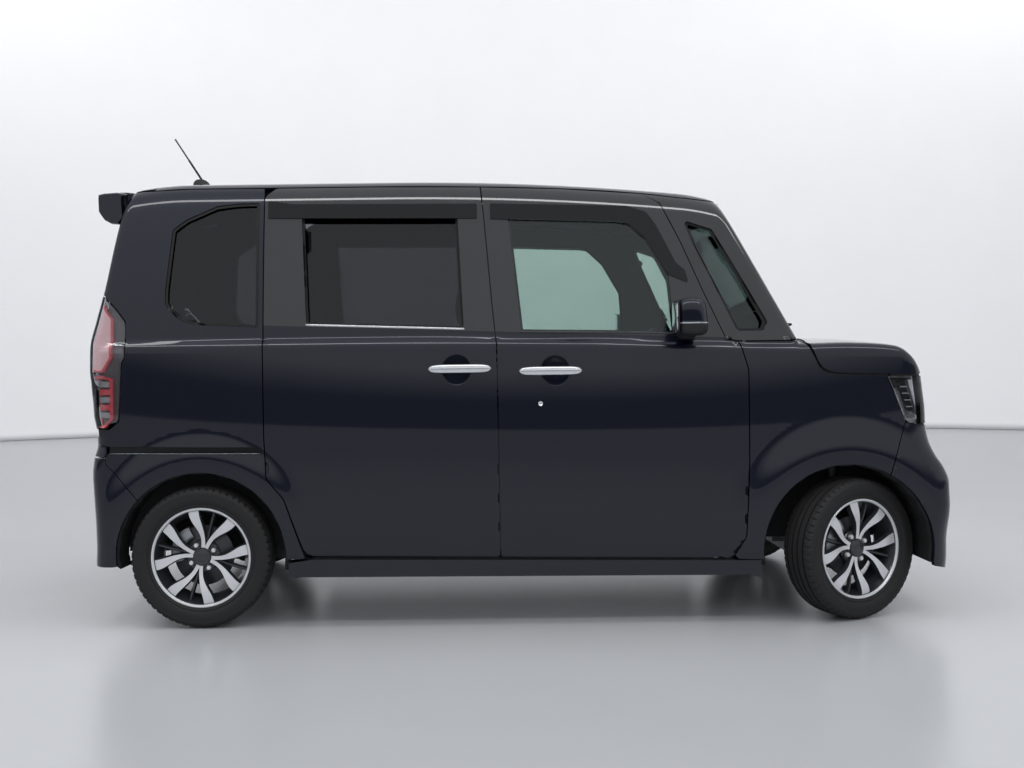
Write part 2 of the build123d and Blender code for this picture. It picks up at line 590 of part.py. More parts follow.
SPOILER_HALF = 600.0
SPOILER_TOP_Z = 1765.0        # at the middle of its rear edge
with BuildPart() as roof_spoiler:
    with BuildSketch(Plane.YZ.offset(-1674)):
        with BuildLine():
            drop = 48.0
            ThreePointArc(
                (-SPOILER_HALF, SPOILER_TOP_Z - drop), (0, SPOILER_TOP_Z), (SPOILER_HALF, SPOILER_TOP_Z - drop)
            )
            Polyline(
                (SPOILER_HALF, SPOILER_TOP_Z - drop), (SPOILER_HALF, 1580), (SPOILER_HALF - 42, 1580),
                (SPOILER_HALF - 60, 1655), (-SPOILER_HALF + 60, 1655), (-SPOILER_HALF + 42, 1580),
                (-SPOILER_HALF, 1580), (-SPOILER_HALF, SPOILER_TOP_Z - drop),
            )
        make_face()
    extrude(amount=200, dir=Vector(1, 0, 0.134).normalized())
    add(across_block([(-1674, 1900, 0), (-1674, 1715, 8), (-1668, 1645, 20), (-1650, 1612, 12), (-1600, 1586, 0),
                      (-1572, 1727, 0), (-1500, 1727, 0), (-1500, 1900, 0)]), mode=Mode.INTERSECT)
    add(cabin_form(-FIT, -FIT, 0), mode=Mode.SUBTRACT)
    add(box_between((-1700, -550, 1500), (-1400, 550, 1688)), mode=Mode.SUBTRACT)
    for side in (RIGHT, LEFT):
        low, high = sorted((side * (TAILGATE_Y - SEAM), side * 700))
        add(box_between((-1572, low, 1500), (-1400, high, 1900)), mode=Mode.SUBTRACT)
finish(roof_spoiler.part, "roof_spoiler")


# ---------------------------------------------------------------- doors
HANDLES = [(-236, 990), (116, 984)]   # x, z of the middles: sliding door, front door
HANDLE_LONG = 240.0
HANDLE_HIGH = 36.0
HANDLE_PROUD = 22.0
CUP_HALF = 62.0           # half-width of the finger cup behind a handle
CUP_DEPTH = 18.0
CUP_R = (CUP_HALF**2 + CUP_DEPTH**2) / (2 * CUP_DEPTH)
HANDLE_GAP = 4.0          # from the widest point of the body out to the handle's back


def door(outline, window, handle_at):
    """A right-hand door with its window cut and its pull handle."""
    with BuildPart() as panel:
        add(wall.part)
        add(side_block(outline, inboard=540, grow=-HALF_SEAM), mode=Mode.INTERSECT)
        add(side_block(window, inboard=400), mode=Mode.SUBTRACT)
        with BuildSketch(Plane.XZ.offset(HALF_WIDTH - 30)):
            with Locations(handle_at):
                RectangleRounded(HANDLE_LONG, HANDLE_HIGH, HANDLE_HIGH / 2 - 1)
        extrude(amount=30 + HANDLE_PROUD)
        cup = Sphere(CUP_R, mode=Mode.PRIVATE).moved(
            Location((handle_at[0], CUP_DEPTH - HALF_WIDTH - CUP_R, handle_at[1])))
        add(cup & box_between((-FAR, -HALF_WIDTH - HANDLE_GAP, 0), (FAR, 0, FAR)), mode=Mode.SUBTRACT)
    return panel.part


def window_glass(window):
    with BuildPart() as pane:
        add(glass_layer.part)
        add(side_block(window, inboard=540, grow=-FIT), mode=Mode.INTERSECT)
    return pane.part


front_door = door(FRONT_DOOR, FRONT_WINDOW, HANDLES[1])
slide_door = door(SLIDE_DOOR, SLIDE_WINDOW, HANDLES[0])
front_door_glass = window_glass(FRONT_WINDOW)

MIRROR_X = (590.0, 700.0)
MIRROR_Z = (1112.0, 1250.0)
MIRROR_Y = (745.0, 878.0)
with BuildPart() as mirror_form:
    with BuildSketch(Plane.XZ.offset(MIRROR_Y[0])):
        with BuildLine():
            rounded_outline([(MIRROR_X[0], MIRROR_Z[0], 15), (MIRROR_X[1], MIRROR_Z[0] + 6, 35),
                             (MIRROR_X[1] - 8, MIRROR_Z[1] - 18, 30), (MIRROR_X[0] + 4, MIRROR_Z[1], 20)])
        make_face()
    extrude(amount=MIRROR_Y[1] - MIRROR_Y[0], taper=4)
    with BuildSketch(Plane.XZ.offset(700)):
        with Locations((650, 1118)):
            Rectangle(70, 26)
    extrude(amount=60)
    add(skin.part, mode=Mode.SUBTRACT)
    add(cabin_form(-FIT, -FIT, 0), mode=Mode.SUBTRACT)

VISOR_THICK = 5.0
FRONT_VISOR = [
    (-108, 1650, 4), (434, 1633, 30), (508, 1608, 20), (545, 1556, 0), (618, 1403, 20), (651, 1375, 0),
    (666, 1322, 6), (588, 1356, 0), (506, 1498, 30), (440, 1560, 30), (377, 1570, 0), (-108, 1588, 4),
]
SLIDE_VISOR = [(-987, 1672, 4), (-890, 1657, 0), (-160, 1650, 4), (-160, 1591, 4), (-987, 1601, 4)]
with BuildPart() as visor_layer:
    add(cabin_form(-VISOR_THICK - FIT, -VISOR_THICK - FIT, 0))
    add(cabin_form(-FIT, -FIT, 0), mode=Mode.SUBTRACT)


def visor(outline):
    with BuildPart() as strip:
        add(visor_layer.part)
        add(side_block(outline, inboard=540), mode=Mode.INTERSECT)
    return strip.part


front_visor = visor(FRONT_VISOR)
slide_visor = visor(SLIDE_VISOR)
for piece, name in (
    (front_door, "front_door"), (slide_door, "slide_door"), (front_door_glass, "front_door_glass"),
    (mirror_form.part, "door_mirror"), (front_visor, "door_visor"),
):
    finish(piece, f"{name}_right")
    finish(piece.mirror(Plane.XZ), f"{name}_left")
finish(both_sides(slide_visor), "slide_door_visors")

with BuildPart() as side_glass:
    for window in (PILLAR_WINDOW, SLIDE_WINDOW, QUARTER_WINDOW):
        add(window_glass(window))
    mirror(about=Plane.XZ)
finish(side_glass.part, "side_glass")

with BuildPart() as windscreen:
    add(glass_layer.part)
    add(end_block(SCREEN_OPENING, 640, 1300, grow=-FIT), mode=Mode.INTERSECT)
    add(box_between((640, -700, 1100), (1300, 700, 1700)), mode=Mode.INTERSECT)
finish(windscreen.part, "windscreen")

SILL_GARNISH = [(-910, 266, 0), (924, 240, 0), (924, 172, 10), (880, 184, 30), (-870, 196, 30), (-910, 190, 10)]
with BuildPart() as sill_garnish:
    with BuildSketch(Plane.XZ.offset(655)):
        with BuildLine():
            rounded_outline(grown(SILL_GARNISH, -FIT))
        make_face()
    extrude(amount=HALF_WIDTH - 8 - 655)
    add(side_block([*LOWER_EDGE, (1000, 400, 0), (-1000, 400, 0)], inboard=600, grow=FIT), mode=Mode.SUBTRACT)
    mirror(about=Plane.XZ)
finish(sill_garnish.part, "sill_garnish")

# ---------------------------------------------------------------- floor, running gear
FLOOR_Z = 300.0
FLOOR_SHEET = 8.0
REAR_FLOOR_Z = 430.0
REAR_FLOOR_X = -960.0
FIREWALL_X = 900.0
FLOOR_Y = 630.0
FLOOR_REAR_X = -1578.0
FLOOR_FRONT_X = 1592.0
SILL_BOX_X = (-860.0, 880.0)
SILL_BOX_Y = (560.0, 620.0)
PILLAR_TAB_Y = 638.4       # tabs that reach out to the feet of the middle pillars
JACK_Z = 205.0            # flat underside of the sill boxes, where a jack lifts


def well(axle_x, inboard):
    """A pressed wheel housing on each side: a round tunnel with an inner wall."""
    with BuildPart() as housing:
        for side in (RIGHT, LEFT):
            for radius, start, mode in ((ARCH_R + WELL_WALL, inboard - WELL_WALL, Mode.ADD),
                                        (ARCH_R, inboard, Mode.SUBTRACT)):
                with BuildSketch(Plane.XZ.offset(-side * start)):
                    with Locations((axle_x, ARCH_Z)):
                        Circle(radius)
                        Rectangle(3 * ARCH_R, 3 * ARCH_R, align=(Align.CENTER, Align.MAX), mode=Mode.SUBTRACT)
                extrude(amount=-side * (FLOOR_Y - start), mode=mode)
    return housing.part


with BuildPart() as floor_pan:
    low, high = FLOOR_Z, FLOOR_Z + FLOOR_SHEET
    add(box_between((REAR_FLOOR_X, -FLOOR_Y, low), (FIREWALL_X, FLOOR_Y, high)))
    add(box_between((REAR_FLOOR_X - FLOOR_SHEET, -FLOOR_Y, low), (REAR_FLOOR_X, FLOOR_Y, REAR_FLOOR_Z)))
    add(box_between((FLOOR_REAR_X, -FLOOR_Y, REAR_FLOOR_Z - FLOOR_SHEET), (REAR_FLOOR_X, FLOOR_Y, REAR_FLOOR_Z)))
    add(box_between((FIREWALL_X - FLOOR_SHEET, -FLOOR_Y, low), (FIREWALL_X, FLOOR_Y, 1050)))
    add(wheel_arch(FRONT_AXLE_X, ARCH_R, FRONT_WELL_Y), mode=Mode.SUBTRACT)
    add(wheel_arch(REAR_AXLE_X, ARCH_R, REAR_WELL_Y), mode=Mode.SUBTRACT)
    add(well(FRONT_AXLE_X, FRONT_WELL_Y))
    add(well(REAR_AXLE_X, REAR_WELL_Y))
    for side in (RIGHT, LEFT):
        low_y, high_y = sorted((side * (FRONT_WELL_Y - WELL_WALL), side * FRONT_WELL_Y))
        add(box_between((FIREWALL_X - FLOOR_SHEET, low_y, FLOOR_Z), (1560, high_y, 880)))
        low_y, high_y = sorted((side * (REAR_WELL_Y - 30), side * (REAR_WELL_Y + 30)))
        add(box_between((REAR_AXLE_X - 45, low_y, 200), (REAR_AXLE_X + 45, high_y, 320)), mode=Mode.SUBTRACT)
    add(box_between((FLOOR_REAR_X, -FAR, 100), (FLOOR_FRONT_X, FAR, 1300)), mode=Mode.INTERSECT)
    for side in (RIGHT, LEFT):
        low_y, high_y = sorted((side * SILL_BOX_Y[0], side * SILL_BOX_Y[1]))
        add(box_between((SILL_BOX_X[0], low_y, JACK_Z), (SILL_BOX_X[1], high_y, FLOOR_Z + 1)))
        low_y, high_y = sorted((side * (FLOOR_Y - 1), side * PILLAR_TAB_Y))
        add(box_between((-120, low_y, FLOOR_Z), (-60, high_y, FLOOR_Z + FLOOR_SHEET)))
finish(floor_pan.part, "floor_pan")

STRUT_Y = 520.0
STRUT_R = 26.0
STRUT_Z = (360.0, 604.5)      # lower end, and upper end just under the wheel housing
ARM_TOP_Z = 192.0
ARM_THICK = 14.0
SUBFRAME_Z = (190.0, 235.0)
with BuildPart() as front_subframe:
    add(box_between((1150, -310, SUBFRAME_Z[0]), (1400, 310, SUBFRAME_Z[1])))
    for side in (RIGHT, LEFT):
        with BuildSketch(Plane.XY.offset(ARM_TOP_Z - ARM_THICK)):
            with BuildLine():
                rounded_outline([(x, side * y, r) for x, y, r in (
                    (1180, 300, 0), (1390, 300, 0), (1297, 612, 25), (1238, 612, 25))])
            make_face()
        extrude(amount=ARM_THICK)
        low_y, high_y = sorted((side * 290, side * (FRONT_WELL_Y - WELL_WALL - FIT)))
        add(box_between((1200, low_y, SUBFRAME_Z[0]), (1350, high_y, 340)))
        with BuildSketch(Plane.XY.offset(STRUT_Z[0])):
            with Locations((FRONT_AXLE_X, side * STRUT_Y)):
                Circle(STRUT_R)
        extrude(amount=STRUT_Z[1] - STRUT_Z[0])
finish(front_subframe.part, "front_subframe")

ENGINE_X = (1090.0, 1440.0)
with BuildPart() as engine_block:
    add(box_between((ENGINE_X[0], -280, SUBFRAME_Z[1] + FIT), (ENGINE_X[1], 280, 860)))
finish(engine_block.part, "engine_block")

HUB_FACE = -30.0          # inner face of the hub and brake, from the middle of the wheel
with BuildPart() as rear_axle:
    add(box_between((-1130, -520, 250), (-1060, 520, 310)))
    for side in (RIGHT, LEFT):
        low_y, high_y = sorted((side * 470, side * 525))
        add(box_between((-1290, low_y, 235), (-850, high_y, FLOOR_Z - FIT)))
        with BuildSketch(Plane.XZ.offset(-side * 500)):
            with Locations((REAR_AXLE_X, ARCH_Z)):
                Circle(38)
        extrude(amount=-side * (WHEEL_Y + HUB_FACE - FIT - 500))
finish(rear_axle.part, "rear_axle")

with BuildPart() as fuel_tank:
    add(box_between((-120, -420, 195), (430, 420, FLOOR_Z - FIT)))
    fillet(fuel_tank.edges().filter_by(Axis.Z), 40)
finish(fuel_tank.part, "fuel_tank")

PIPE_R = 24.0
PIPE_START = (ENGINE_X[0] - FIT, 120.0, 262.0)
MUFFLER = (220.0, 62.0)       # half-width and half-height
MUFFLER_Z = REAR_FLOOR_Z - FLOOR_SHEET - FIT - MUFFLER[1]
with BuildPart() as exhaust:
    with BuildLine():
        FilletPolyline(
            PIPE_START, (760, 120, 250), (600, 490, 250), (-620, 490, 250), (-880, 140, 205), (-1200, 140, 205),
            (-1340, 140, MUFFLER_Z - 20), (-1440, 140, MUFFLER_Z - 20), radius=60,
        )
    with BuildSketch(Plane(origin=PIPE_START, z_dir=(-1, 0, 0))):
        Circle(PIPE_R)
    sweep()
    with BuildSketch(Plane.YZ.offset(-1420)):
        with Locations((0, MUFFLER_Z)):
            Ellipse(*MUFFLER)
    extrude(amount=-150)
    with BuildLine():
        FilletPolyline((-1500, -150, MUFFLER_Z - 20), (-1500, -330, 330), (-1500, -400, 290), (-1552, -400, 280),
                       radius=20)
    with BuildSketch(Plane(origin=(-1500, -150, MUFFLER_Z - 20), z_dir=Vector(0, -180, 330 - MUFFLER_Z + 20))):
        Circle(20)
    sweep()
finish(exhaust.part, "exhaust")

# wheels: built lying flat, axis up, outboard face up, then set at each corner
SPOKE_PAIR_OFFSET = 74.0      # degrees, middle of the first pair
with BuildPart() as tyre_form:
    with BuildSketch(Plane.XZ) as tyre_section:
        with BuildLine():
            half = TYRE_W / 2
            inner = RIM_R + FIT
            rounded_outline([
                (inner, -RIM_W / 2, 0), (inner + 14, -half + 2, 20), (238, -half, 30), (264, -half + 9, 25),
                (TYRE_R, -half + 28, 30), (TYRE_R, half - 28, 30), (264, half - 9, 25), (238, half, 30),
                (inner + 14, half - 2, 20), (inner, RIM_W / 2, 0),
            ])
        make_face()
    revolve(axis=Axis.Z)

FACE_H = RIM_W / 2 - 4
with BuildPart() as wheel_form:
    with BuildSketch(Plane.XZ):
        with BuildLine():
            half = RIM_W / 2
            Polyline(
                (RIM_R, -half), (RIM_R, -half + 12), (182, -half + 16), (168, -half + 34), (168, half - 42),
                (182, half - 16), (RIM_R, half - 12), (RIM_R, half), (176, half), (160, half - 30),
                (160, -half + 26), (178, -half), (RIM_R, -half),
            )
        make_face()
    revolve(axis=Axis.Z)
    with BuildSketch(Plane.XY.offset(HUB_FACE)):
        Circle(62)
    extrude(amount=FACE_H - HUB_FACE - 14)
    with BuildSketch(Plane.XY.offset(HUB_FACE)):
        Circle(112)
    extrude(amount=18)
    for pair in range(4):
        middle = SPOKE_PAIR_OFFSET + 90 * pair
        with BuildSketch(Plane.XY.offset(FACE_H - 28)):
            for lean in (-1, 1):
                with BuildLine():
                    corners = []
                    for radius, angle in ((46, 4), (46, 30), (120, 24.5), (176, 29.5), (176, 18.5), (120, 15.5)):
                        turn = radians(middle + lean * angle)
                        corners.append((radius * cos(turn), radius * sin(turn), 0))
                    rounded_outline(corners)
                make_face()
            with Locations(Location((0, 0, 0), (0, 0, middle))):
                with Locations((115, 0)):
                    Rectangle(124, 9)
        extrude(amount=24)
    with BuildSketch(Plane.XY.offset(FACE_H - 40)):
        with PolarLocations(LUG_CIRCLE_R, 4, start_angle=SPOKE_PAIR_OFFSET + 45):
            Circle(LUG_R)
    extrude(amount=40 - 6)
    with BuildSketch(Plane.XY.offset(FACE_H - 20)):
        Circle(32)
    extrude(amount=20 - 3)


def at_wheel(axle_x, side, steer):
    """The frame of a wheel: its z points outboard along the axle."""
    turn = radians(steer)
    kingpin = Vector(axle_x, side * KINGPIN_Y, ARCH_Z)
    out = Vector(-side * sin(turn), side * cos(turn), 0)
    ahead = Vector(cos(turn), sin(turn), 0)
    return Plane(origin=kingpin + out * (WHEEL_Y - KINGPIN_Y), x_dir=ahead, z_dir=out)


CORNERS = [
    ("front_right", FRONT_AXLE_X, RIGHT, STEER_REST), ("front_left", FRONT_AXLE_X, LEFT, STEER_REST),
    ("rear_right", REAR_AXLE_X, RIGHT, 0.0), ("rear_left", REAR_AXLE_X, LEFT, 0.0),
]
KNUCKLE_END = HUB_FACE - FIT
for name, axle_x, side, steer in CORNERS:
    place = at_wheel(axle_x, side, steer).location
    finish(tyre_form.part.moved(place), f"tyre_{name}")
    finish(wheel_form.part.moved(place), f"wheel_{name}")
    if name.startswith("front"):
        with BuildPart() as knuckle:
            with BuildSketch(Plane.XY.offset(KNUCKLE_END)):
                Circle(42)
            extrude(amount=-(WHEEL_Y - KINGPIN_Y + KNUCKLE_END + 12))
            with BuildSketch(Plane.XY.offset(KNUCKLE_END)):
                with Locations((-95, 0)):
                    RectangleRounded(62, 110, 14)
            extrude(amount=-38)
            with BuildSketch(Plane.XY.offset(KNUCKLE_END - 20)):
                with Locations((-60, 0)):
                    Rectangle(90, 40)
            extrude(amount=-18)
        with BuildPart() as steered:
            with BuildSketch(Plane.XY.offset(ARM_TOP_Z + FIT)):
                with Locations((axle_x, side * KINGPIN_Y)):
                    Circle(16)
            extrude(amount=ARCH_Z - ARM_TOP_Z)
            add(knuckle.part.moved(place))
        finish(steered.part, f"knuckle_{name.removeprefix('front_')}")

# ---------------------------------------------------------------- cabin
SEAT_BASE_Z = FLOOR_Z + FLOOR_SHEET + FIT
SEAT_Y = 310.0
with BuildPart() as front_seats:
    for side in (RIGHT, LEFT):
        with BuildSketch(Plane.XZ.offset(-side * SEAT_Y)):
            with BuildLine():
                rounded_outline([
                    (-110, SEAT_BASE_Z, 0), (370, SEAT_BASE_Z, 0), (400, 560, 60), (370, 650, 50), (0, 610, 40),
                    (-130, 1180, 50), (-240, 1190, 40), (-130, 560, 60),
                ])
            make_face()
        extrude(amount=235, both=True)
        with BuildSketch(Plane.XZ.offset(-side * SEAT_Y)):
            with BuildLine():
                rounded_outline([(-150, 1150, 0), (-150, 1380, 40), (-270, 1390, 40), (-250, 1150, 0)])
            make_face()
        extrude(amount=130, both=True)
finish(front_seats.part, "front_seats")

with BuildPart() as rear_seat:
    with BuildSketch(Plane.XZ):
        with BuildLine():
            rounded_outline([
                (-900, SEAT_BASE_Z, 0), (-470, SEAT_BASE_Z, 0), (-440, 600, 60), (-840, 590, 30),
                (-880, 1120, 40), (-955, 1120, 30), (-945, SEAT_BASE_Z + 100, 0), (-900, SEAT_BASE_Z + 100, 0),
            ])
        make_face()
    extrude(amount=525, both=True)
    for side in (RIGHT, LEFT):
        with BuildSketch(Plane.XZ.offset(-side * SEAT_Y)):
            with BuildLine():
                rounded_outline([(-880, 1100, 0), (-890, 1310, 30), (-970, 1310, 30), (-950, 1100, 0)])
            make_face()
        extrude(amount=130, both=True)
finish(rear_seat.part, "rear_seat")

DASH_Y = 520.0
WHEEL_CENTRE = (505.0, -SEAT_Y - 20, 985.0)
COLUMN_RAKE = 27.0
WHEEL_AXIS = Vector(-cos(radians(COLUMN_RAKE)), 0, sin(radians(COLUMN_RAKE)))
with BuildPart() as dashboard:
    with BuildSketch(Plane.XZ):
        with BuildLine():
            rounded_outline([(FIREWALL_X - FLOOR_SHEET - FIT, 700, 0), (FIREWALL_X - FLOOR_SHEET - FIT, 1050, 0),
                             (740, 1070, 40), (640, 1000, 50), (680, 720, 60)])
        make_face()
    extrude(amount=DASH_Y, both=True)
    with BuildSketch(Plane(origin=WHEEL_CENTRE, z_dir=WHEEL_AXIS).offset(-30 - FIT)):
        Circle(30)
    extrude(amount=-150)
finish(dashboard.part, "dashboard")

with BuildPart() as steering_wheel:
    with BuildLine(Plane(origin=WHEEL_CENTRE, x_dir=(0, -1, 0), z_dir=WHEEL_AXIS)):
        rim_line = CenterArc((0, 0), 172, 0, 360)
    with BuildSketch(Plane(origin=rim_line @ 0, z_dir=rim_line % 0)):
        Circle(14)
    sweep(path=rim_line)
    with BuildSketch(Plane(origin=WHEEL_CENTRE, x_dir=(0, -1, 0), z_dir=WHEEL_AXIS).offset(-30)):
        Circle(62)
        with Locations((0, 0)):
            Rectangle(336, 30)
        with Locations((0, -84)):
            Rectangle(40, 168)
    extrude(amount=26)
finish(steering_wheel.part, "steering_wheel")

ANTENNA_FOOT = Vector(-1322, -330, 1768)
ANTENNA_ROOT = Vector(-1342, -330, 1800)
ANTENNA_TIP = Vector(-1427, -330, 1978)
with BuildPart() as roof_antenna:
    with BuildSketch(Plane.XY.offset(ANTENNA_FOOT.Z)):
        with Locations((ANTENNA_FOOT.X, ANTENNA_FOOT.Y)):
            Ellipse(54, 22)
    extrude(amount=56, dir=(-0.25, 0, 1), taper=14)
    with BuildLine():
        mast = Line(ANTENNA_ROOT, ANTENNA_TIP)
    with BuildSketch(Plane(origin=ANTENNA_ROOT, z_dir=mast % 0)):
        Circle(4.5)
    sweep(path=mast)
    add(sky_block(-FIT), mode=Mode.INTERSECT)
finish(roof_antenna.part, "roof_antenna")
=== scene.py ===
import bpy
import math
import numpy as np
from mathutils import Matrix, Vector
from mathutils.geometry import delaunay_2d_cdt


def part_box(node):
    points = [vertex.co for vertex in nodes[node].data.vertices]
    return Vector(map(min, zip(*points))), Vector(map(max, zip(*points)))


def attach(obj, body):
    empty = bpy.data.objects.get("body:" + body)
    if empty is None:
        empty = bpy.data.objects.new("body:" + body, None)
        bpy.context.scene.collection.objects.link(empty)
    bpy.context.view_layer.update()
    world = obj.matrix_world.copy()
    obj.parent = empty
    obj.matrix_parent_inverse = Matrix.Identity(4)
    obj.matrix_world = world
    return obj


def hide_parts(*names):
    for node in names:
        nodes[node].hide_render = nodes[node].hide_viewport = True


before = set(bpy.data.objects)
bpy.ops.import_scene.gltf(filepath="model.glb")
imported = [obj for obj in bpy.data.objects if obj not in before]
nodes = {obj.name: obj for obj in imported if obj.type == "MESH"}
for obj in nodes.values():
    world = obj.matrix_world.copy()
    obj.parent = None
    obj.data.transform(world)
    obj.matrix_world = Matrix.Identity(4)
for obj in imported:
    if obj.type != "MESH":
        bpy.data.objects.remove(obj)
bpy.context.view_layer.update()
scene = bpy.context.scene

# ---- Camera ----
# Level camera beside the right-hand side, at about the height of the belt line, with a slight roll.
# Its optical axis lies left of and above the middle of the frame, so the lens is shifted.
PICTURE_W, PICTURE_H = 1024, 768
FOCAL_PX, AXIS_PX = 1127, (459.6, 350.7)
SENSOR_MM, ROLL_DEG = 36.0, -0.75
EYE = (-0.2357, -5.100, 1.0674)
camera_data = bpy.data.cameras.new("camera")
camera = bpy.data.objects.new("camera", camera_data)
scene.collection.objects.link(camera)
scene.camera = camera
camera_data.sensor_width = SENSOR_MM
camera_data.lens = FOCAL_PX / PICTURE_W * SENSOR_MM
camera_data.shift_x = (PICTURE_W / 2 - AXIS_PX[0]) / PICTURE_W
camera_data.shift_y = -(PICTURE_H / 2 - AXIS_PX[1]) / PICTURE_W
camera_data.clip_end = 60
camera.matrix_world = (Matrix.Translation(EYE) @ Matrix.Rotation(math.radians(90), 4, "X")
                       @ Matrix.Rotation(math.radians(ROLL_DEG), 4, "Z"))


# ---- Floor and light ----
# Pale satin studio floor with a curved white wall behind it, lit by a soft box overhead, one in front and a
# strip along the side; a fourth lamp only washes the wall.
def linear(hex_colour):
    """sRGB hex to linear RGBA."""
    values = [int(hex_colour[i:i + 2], 16) / 255 for i in (1, 3, 5)]
    return (*[v / 12.92 if v <= 0.04045 else ((v + 0.055) / 1.055) ** 2.4 for v in values], 1)


def node(material, kind, links=(), **settings):
    """Adds a node: settings are its properties and values, links are (socket, other's output or a value)."""
    made = material.node_tree.nodes.new(kind)
    for key, value in settings.items():
        if hasattr(made, key):
            setattr(made, key, value)
    sockets = {s.identifier.replace(" ", "_"): s for s in made.inputs}
    sockets.update({s.name.replace(" ", "_"): s for s in reversed(made.inputs)})
    for key, value in settings.items():
        if not hasattr(made, key):
            sockets[key].default_value = value
    for socket, source in links:
        target = made.inputs[socket] if isinstance(socket, int) else sockets[socket]
        if isinstance(source, bpy.types.NodeSocket):
            material.node_tree.links.new(source, target)
        else:
            target.default_value = source
    return made


def bare_material(name):
    """A material with no nodes but the one that gives places on the object, and that node's output."""
    material = bpy.data.materials.new(name)
    material.use_nodes = True
    material.node_tree.nodes.clear()
    return material, node(material, "ShaderNodeTexCoord").outputs["Object"]


def finish_of(name, colour, roughness, second, grain_size, metallic=0.0, depth=0.0, rough_spread=0.1,
              **shader):
    """A principled material whose colour, roughness and bump vary with a noise of grain_size metres."""
    material, place = bare_material(name)
    noise = node(material, "ShaderNodeTexNoise", [("Vector", place)], Scale=1 / grain_size, Detail=4.0,
                 Roughness=0.6)
    ramp = node(material, "ShaderNodeMapRange", [("Value", noise.outputs["Fac"])], From_Min=0.3, From_Max=0.7)
    tint = node(material, "ShaderNodeMix",
                [(0, ramp.outputs["Result"]), (6, linear(colour)), (7, linear(second))], data_type="RGBA")
    rough = node(material, "ShaderNodeMapRange", [("Value", noise.outputs["Fac"])],
                 To_Min=max(roughness - rough_spread, 0.0), To_Max=min(roughness + rough_spread, 1.0))
    links = [("Base_Color", tint.outputs[2]), ("Roughness", rough.outputs["Result"])]
    if depth:
        bump = node(material, "ShaderNodeBump", [("Height", noise.outputs["Fac"])], Distance=depth,
                    Strength=1.0)
        links.append(("Normal", bump.outputs["Normal"]))
    body = node(material, "ShaderNodeBsdfPrincipled", links, Metallic=metallic, **shader)
    node(material, "ShaderNodeOutputMaterial", [("Surface", body.outputs[0])])
    return material


def plain_mesh(name, verts, faces, *finishes, smooth=True):
    """A new object from vertices and faces, with its materials."""
    mesh = bpy.data.meshes.new(name)
    mesh.from_pydata([tuple(v) for v in verts], [], [tuple(f) for f in faces])
    mesh.validate()
    obj = bpy.data.objects.new(name, mesh)
    scene.collection.objects.link(obj)
    for material in finishes:
        mesh.materials.append(material)
    if smooth:
        mesh.polygons.foreach_set("use_smooth", [True] * len(mesh.polygons))
    return obj


def grid_faces(rows, cols, close_cols=False, close_rows=False):
    """Quads over a rows x cols grid of vertices."""
    faces = []
    for r in range(rows if close_rows else rows - 1):
        for c in range(cols if close_cols else cols - 1):
            r2, c2 = (r + 1) % rows, (c + 1) % cols
            faces.append((r * cols + c, r * cols + c2, r2 * cols + c2, r2 * cols + c))
    return faces


FLOOR_X, FLOOR_Y = (-16.0, 16.0), (-16.0, 12.0)
WALL_HALF, WALL_DEEP, WALL_MIDDLE_Y, WALL_TOP = 12.5, 11.0, -0.5, 9.5
concrete = finish_of("polished_concrete", "#a9abae", 0.26, second="#a6a8ab", grain_size=0.9,
                     rough_spread=0.015)
studio = plain_mesh("studio_floor", [(x, y, 0.0) for y in FLOOR_Y for x in FLOOR_X], [(0, 1, 3, 2)], concrete)
bend = [(WALL_HALF * math.sin(a), WALL_MIDDLE_Y + WALL_DEEP * math.cos(a))
        for a in np.linspace(-1.6, 1.6, 60)]
skirting = [(0.0, 0.0), (0.02, 0.004), (0.02, 0.09), (0.0, 0.1), (0.0, WALL_TOP)]
wall = plain_mesh("studio_wall", [(x * (1 - d / 9), y - d, z) for d, z in skirting for x, y in bend],
                  grid_faces(len(skirting), len(bend)),
                  finish_of("matt_white_wall", "#eeeef0", 0.8, second="#ececee", grain_size=0.8))

world = bpy.data.worlds.new("studio")
scene.world = world
world.use_nodes = True
direction = node(world, "ShaderNodeTexCoord").outputs["Generated"]
axes = node(world, "ShaderNodeSeparateXYZ", [("Vector", direction)])
behind = node(world, "ShaderNodeMapRange", [("Value", axes.outputs["Y"])], From_Min=-0.1, From_Max=0.5,
              To_Min=0.05, To_Max=0.70)
ceiling = node(world, "ShaderNodeMapRange", [("Value", axes.outputs["Z"])], From_Min=0.0, From_Max=0.06,
               To_Min=0.05, To_Max=0.78)
level = node(world, "ShaderNodeMath", [(0, behind.outputs[0]), (1, ceiling.outputs[0])], operation="MAXIMUM")
seen = node(world, "ShaderNodeMath",
            [(0, node(world, "ShaderNodeLightPath").outputs["Is Camera Ray"]), (1, 0.80)],
            operation="MULTIPLY")
shown = node(world, "ShaderNodeMath", [(0, level.outputs[0]), (1, seen.outputs[0])], operation="MAXIMUM")
world.node_tree.links.new(shown.outputs[0], world.node_tree.nodes["Background"].inputs["Strength"])
world.node_tree.nodes["Background"].inputs["Color"].default_value = linear("#f2f4f8")
